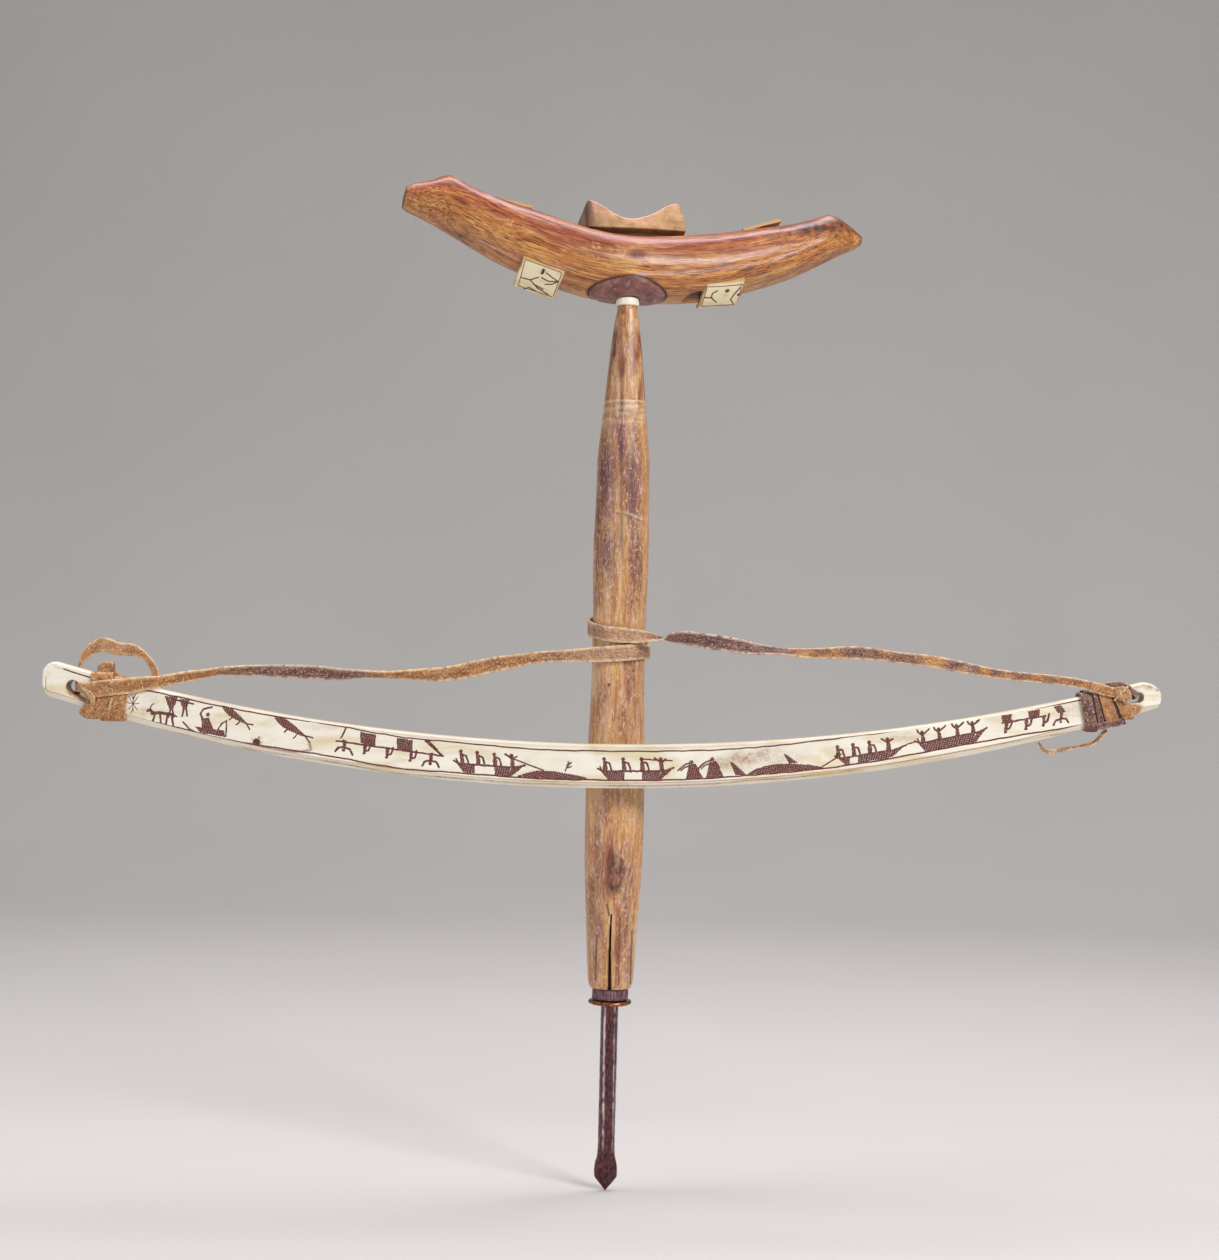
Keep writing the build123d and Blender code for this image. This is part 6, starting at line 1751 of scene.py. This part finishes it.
# loop above the left end, from its outer and inner outline
lo = [((75.5, 694), (80.5, 694)), ((76.5, 672), (80.6, 673)), ((78.6, 663.4), (83.0, 663.6)), ((82.4, 651.4), (90.4, 656.4)), ((90.6, 642.2), (97.4, 653.8)), ((102.0, 637.6), (104.2, 651.4)), ((113.6, 640.6), (113.4, 654.4)),
      ((123.0, 642.6), (122.0, 655.6)), ((131.6, 643.6), (131.8, 656.0)), ((141.0, 648.6), (139.6, 657.4)), ((149.4, 656.0), (145.6, 661.4)), ((156.0, 664.4), (149.8, 668.4)), ((159.4, 674.4), (152.0, 676.0)), ((160.4, 690), (153.4, 690))]
lpts, lwid = [], []
for (ox, oy), (ix, iy) in lo:
    a_, b_ = at(ox, oy, -14.2), at(ix, iy, -14.2)
    lpts.append((a_ + b_) / 2)
    lwid.append(float(np.linalg.norm(a_ - b_)))
loop = strap("left_loop_strap", lpts, lwid, 1.5, "bow", warm=lambda P_: 0.85 - 0.4 * smooth(200.5, 203, P_[..., 2]), light=lambda P_: 0.25 + 0.2 * vnoise(P_, (3, 3, 3), 311), n=300, seed=43, up=(0, 1, 0), tilt=[90] * len(lpts), edge_light=0.8, rough=0.06)
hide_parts("left_loop")
foot = strap("left_loop_foot", [(-198.0, -14.2, 184.6), (-190, -14.2, 184.0), (-180, -14.2, 184.2), (-172.4, -14.2, 185.4)], 3.4, 1.2, "bow", warm=0.7, n=80, seed=44)


def slab(name, outline, y0, y1, seed, warm=0.9, light=0.0, bevel=0.35):
    """A small folded piece of hide: an outline in photo pixels with rounded edges, thick from y0 to y1."""
    o = np.array([at(x_, y_, y0) for x_, y_ in outline])[:, [0, 2]]
    dense_ = []
    n = len(o)
    for k in range(n):
        for t_ in np.linspace(0, 1, 8, endpoint=False):
            dense_.append(o[k] + (o[(k + 1) % n] - o[k]) * t_)
    dense_ = np.array(dense_)
    for _ in range(3):
        dense_ = 0.5 * dense_ + 0.25 * (np.roll(dense_, 1, 0) + np.roll(dense_, -1, 0))
    c_ = dense_.mean(0)
    rings_ = []
    for f_, yy in ((0.55, y0 - 0.1), (0.86, y0), (0.96, y0 + bevel * 0.4), (1.0, y0 + bevel), (1.0, (y0 + y1) / 2), (1.0, y1 - bevel), (0.94, y1), (0.6, y1)):
        q_ = c_ + (dense_ - c_) * f_
        rings_.append(np.stack([q_[:, 0], np.full(len(q_), yy), q_[:, 1]], -1))
    P_ = np.array(rings_)
    P_ = P_ + 0.09 * fbm(P_, (1.4, 1.4, 1.4), seed + 20, 2)[..., None]
    sh = P_.shape[:2]
    ed = np.zeros(sh)
    ed[2:4] = 0.6 * np.clip(0.4 + vnoise(P_[2:4], (1.2, 1.2, 1.2), seed), 0, 1)
    ob = tube(name, P_, {"g": P_ + seed, "edge": ed, "warm": np.full(sh, warm), "light": np.full(sh, light), "dark": np.zeros(sh)})
    dress(ob, hide)
    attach(ob, "bow")
    return ob


tab = slab("left_tab_fold", [(97.2, 664.4), (104, 662.0), (112.8, 661.6), (112.6, 667), (108.4, 676), (106.4, 682), (97.4, 684), (97.0, 676)], -21.4, -18.4, 45, 0.8, 0.1)
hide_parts("left_tab")
slab("left_tab_side", [(112.4, 662.4), (114.6, 664.6), (114.0, 670.2), (108.6, 681.4), (106.8, 681.0), (108.6, 675.8)], -20.8, -18.6, 46, 0.35, 0.0, 0.25)
slab("left_tab_end", [(112.6, 669.2), (115.4, 669.6), (121.8, 677.4), (121.4, 682.4), (110.6, 682.4), (111.0, 676)], -20.0, -18.2, 47, 0.9, 0.15, 0.3)

# right end: knot, strap over the edge, tail
re_ = strap("thong_right_end_strap", pxl([(1090, 681.4, 691.4), (1098, 683.2, 693.4), (1106, 685.6, 695.8), (1113, 687.6, 697.2), (1119, 689.2, 698)], [-24.75, -24.9, -25.0, -25.1, -25.0]), [3.8, 3.9, 3.8, 3.7, 3.0], 1.0, "bow", warm=0.95, n=70, seed=51, tilt=[0, 0, 0, 0, 0])
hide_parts("thong_right_end")
slab("right_lashing_flap", [(1117, 699), (1124, 701.6), (1133, 704.2), (1144.6, 705.8), (1140, 712.4), (1131, 717.4), (1123.6, 719.6), (1120, 712)], -24.6, -23.5, 53, 0.95, 0.08, 0.4)
kn = slab("right_knot_body", [(1114.4, 688.6), (1120, 686.4), (1127, 687.4), (1131, 691.6), (1131.4, 697.6), (1127, 701.6), (1119.4, 700.8), (1114.6, 696.6)], -26.3, -24.1, 52, 0.8, 0.12, 0.6)
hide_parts("right_knot")
for k, (rows, w_, lt_) in enumerate((([(1113, 690, 694), (1119, 689.4, 692.4), (1126, 691.4, 694.4), (1130, 696, 700)], 1.7, 0.25), ([(1114.6, 699, 702), (1119, 694.6, 697), (1124.6, 689, 691), (1127, 685.6, 688)], 1.5, 0.4),
                                      ([(1115.6, 686, 689), (1118.4, 691, 694), (1122.4, 697, 700), (1126.4, 701, 703.6)], 1.4, 0.1), ([(1122, 686.4, 688.4), (1127.4, 690, 692), (1130.6, 697, 699.6)], 1.3, 0.45))):
    ob = strap(f"right_knot_fibre_{k + 1}", pxl(rows, [-25.6 - 0.28 * k + (0.9 if j in (0, len(rows) - 1) else 0) for j in range(len(rows))]), w_, 0.8, "bow", warm=0.85, light=lt_, n=60, seed=56 + k, up=(0.7, 0, 0.7), power=2.6, rough=0.14)
ov = strap("right_over_strap_body", pxl([(1098.6, 688.4, 692), (1103, 684.4, 688.8), (1110, 682.2, 687.6), (1118, 681.6, 687.6), (1125.6, 683.6, 689.6), (1131.4, 687.6, 693.6), (1136.6, 692.4, 697.4)], [-24.9, -24.3, -23.9, -23.9, -24.2, -24.5, -24.3]) + [np.array([189.3, -22.0, 190.3]), np.array([189.3, -18.6, 190.1])],
           [1.5, 1.9, 2.3, 2.5, 2.5, 2.3, 2.0, 2.0, 1.8], 0.95, "bow", warm=0.12, light=0.0, n=140, seed=54, rough=0.08)
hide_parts("right_over_strap")
ov2 = strap("right_over_strap_fold", pxl([(1104, 689, 693), (1111, 687.4, 691.4), (1118, 687, 690.6), (1124, 688.4, 691)], [-24.9, -24.9, -24.9, -24.9]), [1.3, 1.3, 1.1, 0.8], 0.7, "bow", warm=0.0, dark=0.25, n=50, seed=50)
tl = strap("right_tail_strip", pxl([(1106.5, 728, 732), (1101, 734, 738.6), (1095, 739.6, 744.4), (1087, 742.4, 747.6), (1078, 745.4, 749.0), (1069, 746.4, 750.6), (1060, 748.0, 752.4), (1052, 749.4, 754.4), (1046, 749.4, 753.8), (1041.6, 746, 749), (1038.6, 741, 743.6)], -20.0),
           [1.4, 1.9, 1.8, 1.9, 1.4, 1.6, 1.7, 1.9, 1.6, 1.2, 0.9], 0.7, "bow", warm=lambda P_: 0.6 + 0.3 * vnoise(P_, (4, 4, 4), 321), light=lambda P_: 0.15 + 0.75 * smooth(2.2, 0.4, np.abs(P_[..., 0] + 0 - float(at(1053, 750, -20)[0]))), tilt=[20, 35, 60, 20, 70, 40, 10, 0, 0, 0, 0], n=220, seed=55, edge_light=0.9)
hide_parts("right_tail")

# -------------------------------------------------------------------- stage
NS = 60
prof_y = list(np.linspace(-9000, 900, 24)) + [900 + 900 * math.sin(t) for t in np.linspace(0.05, math.pi / 2, 20)] + [1800] * 4
prof_z = [0.0] * 24 + [900 - 900 * math.cos(t) for t in np.linspace(0.05, math.pi / 2, 20)] + [1200, 1700, 2300, 3000]
V, F = [], []
for y_, z_ in zip(prof_y, prof_z):
    V += [(-9000, y_, z_), (9000, y_, z_)]
for k in range(len(prof_y) - 1):
    F.append([2 * k, 2 * k + 1, 2 * k + 3, 2 * k + 2])
floor = mesh_from("studio_floor", V, F)
fm = Mat("studio_paper", Roughness=0.85)
fq = fm.obj()
fm.set("Base Color", fm.mix(fm.rng(fm.noise(fq, 0.002, 3), 0.3, 0.7, 0, 1), (0.60, 0.59, 0.575), (0.63, 0.62, 0.605)))
dress(floor, fm)


def area(name, loc, target, size, power, color):
    li = bpy.data.lights.new(name, "AREA")
    li.shape, li.size, li.size_y = "RECTANGLE", size[0], size[1]
    li.energy, li.color = power, color
    ob = bpy.data.objects.new(name, li)
    bpy.context.collection.objects.link(ob)
    ob.location = loc
    dv = Vector(target) - Vector(loc)
    ob.rotation_euler = dv.to_track_quat("-Z", "Y").to_euler()
    return ob


area("key", (0.85, -1.0, 0.95), (0.0, 0.0, 0.2), (0.55, 0.55), 17, (1.0, 0.97, 0.94))
area("fill", (-1.1, -0.9, 0.47), (0.0, 0.0, 0.2), (0.8, 0.8), 4.5, (1.0, 0.95, 0.96))
area("top", (-0.05, 0.12, 1.15), (0.0, 0.0, 0.25), (1.2, 0.28), 9.5, (1.0, 0.93, 1.0))
bpy.context.scene.view_settings.view_transform = "Standard"
world = bpy.data.worlds.new("studio")
bpy.context.scene.world = world
world.use_nodes = True
bgn = world.node_tree.nodes["Background"]
bgn.inputs[0].default_value = (1.0, 0.99, 0.97, 1.0)
bgn.inputs[1].default_value = 0.32
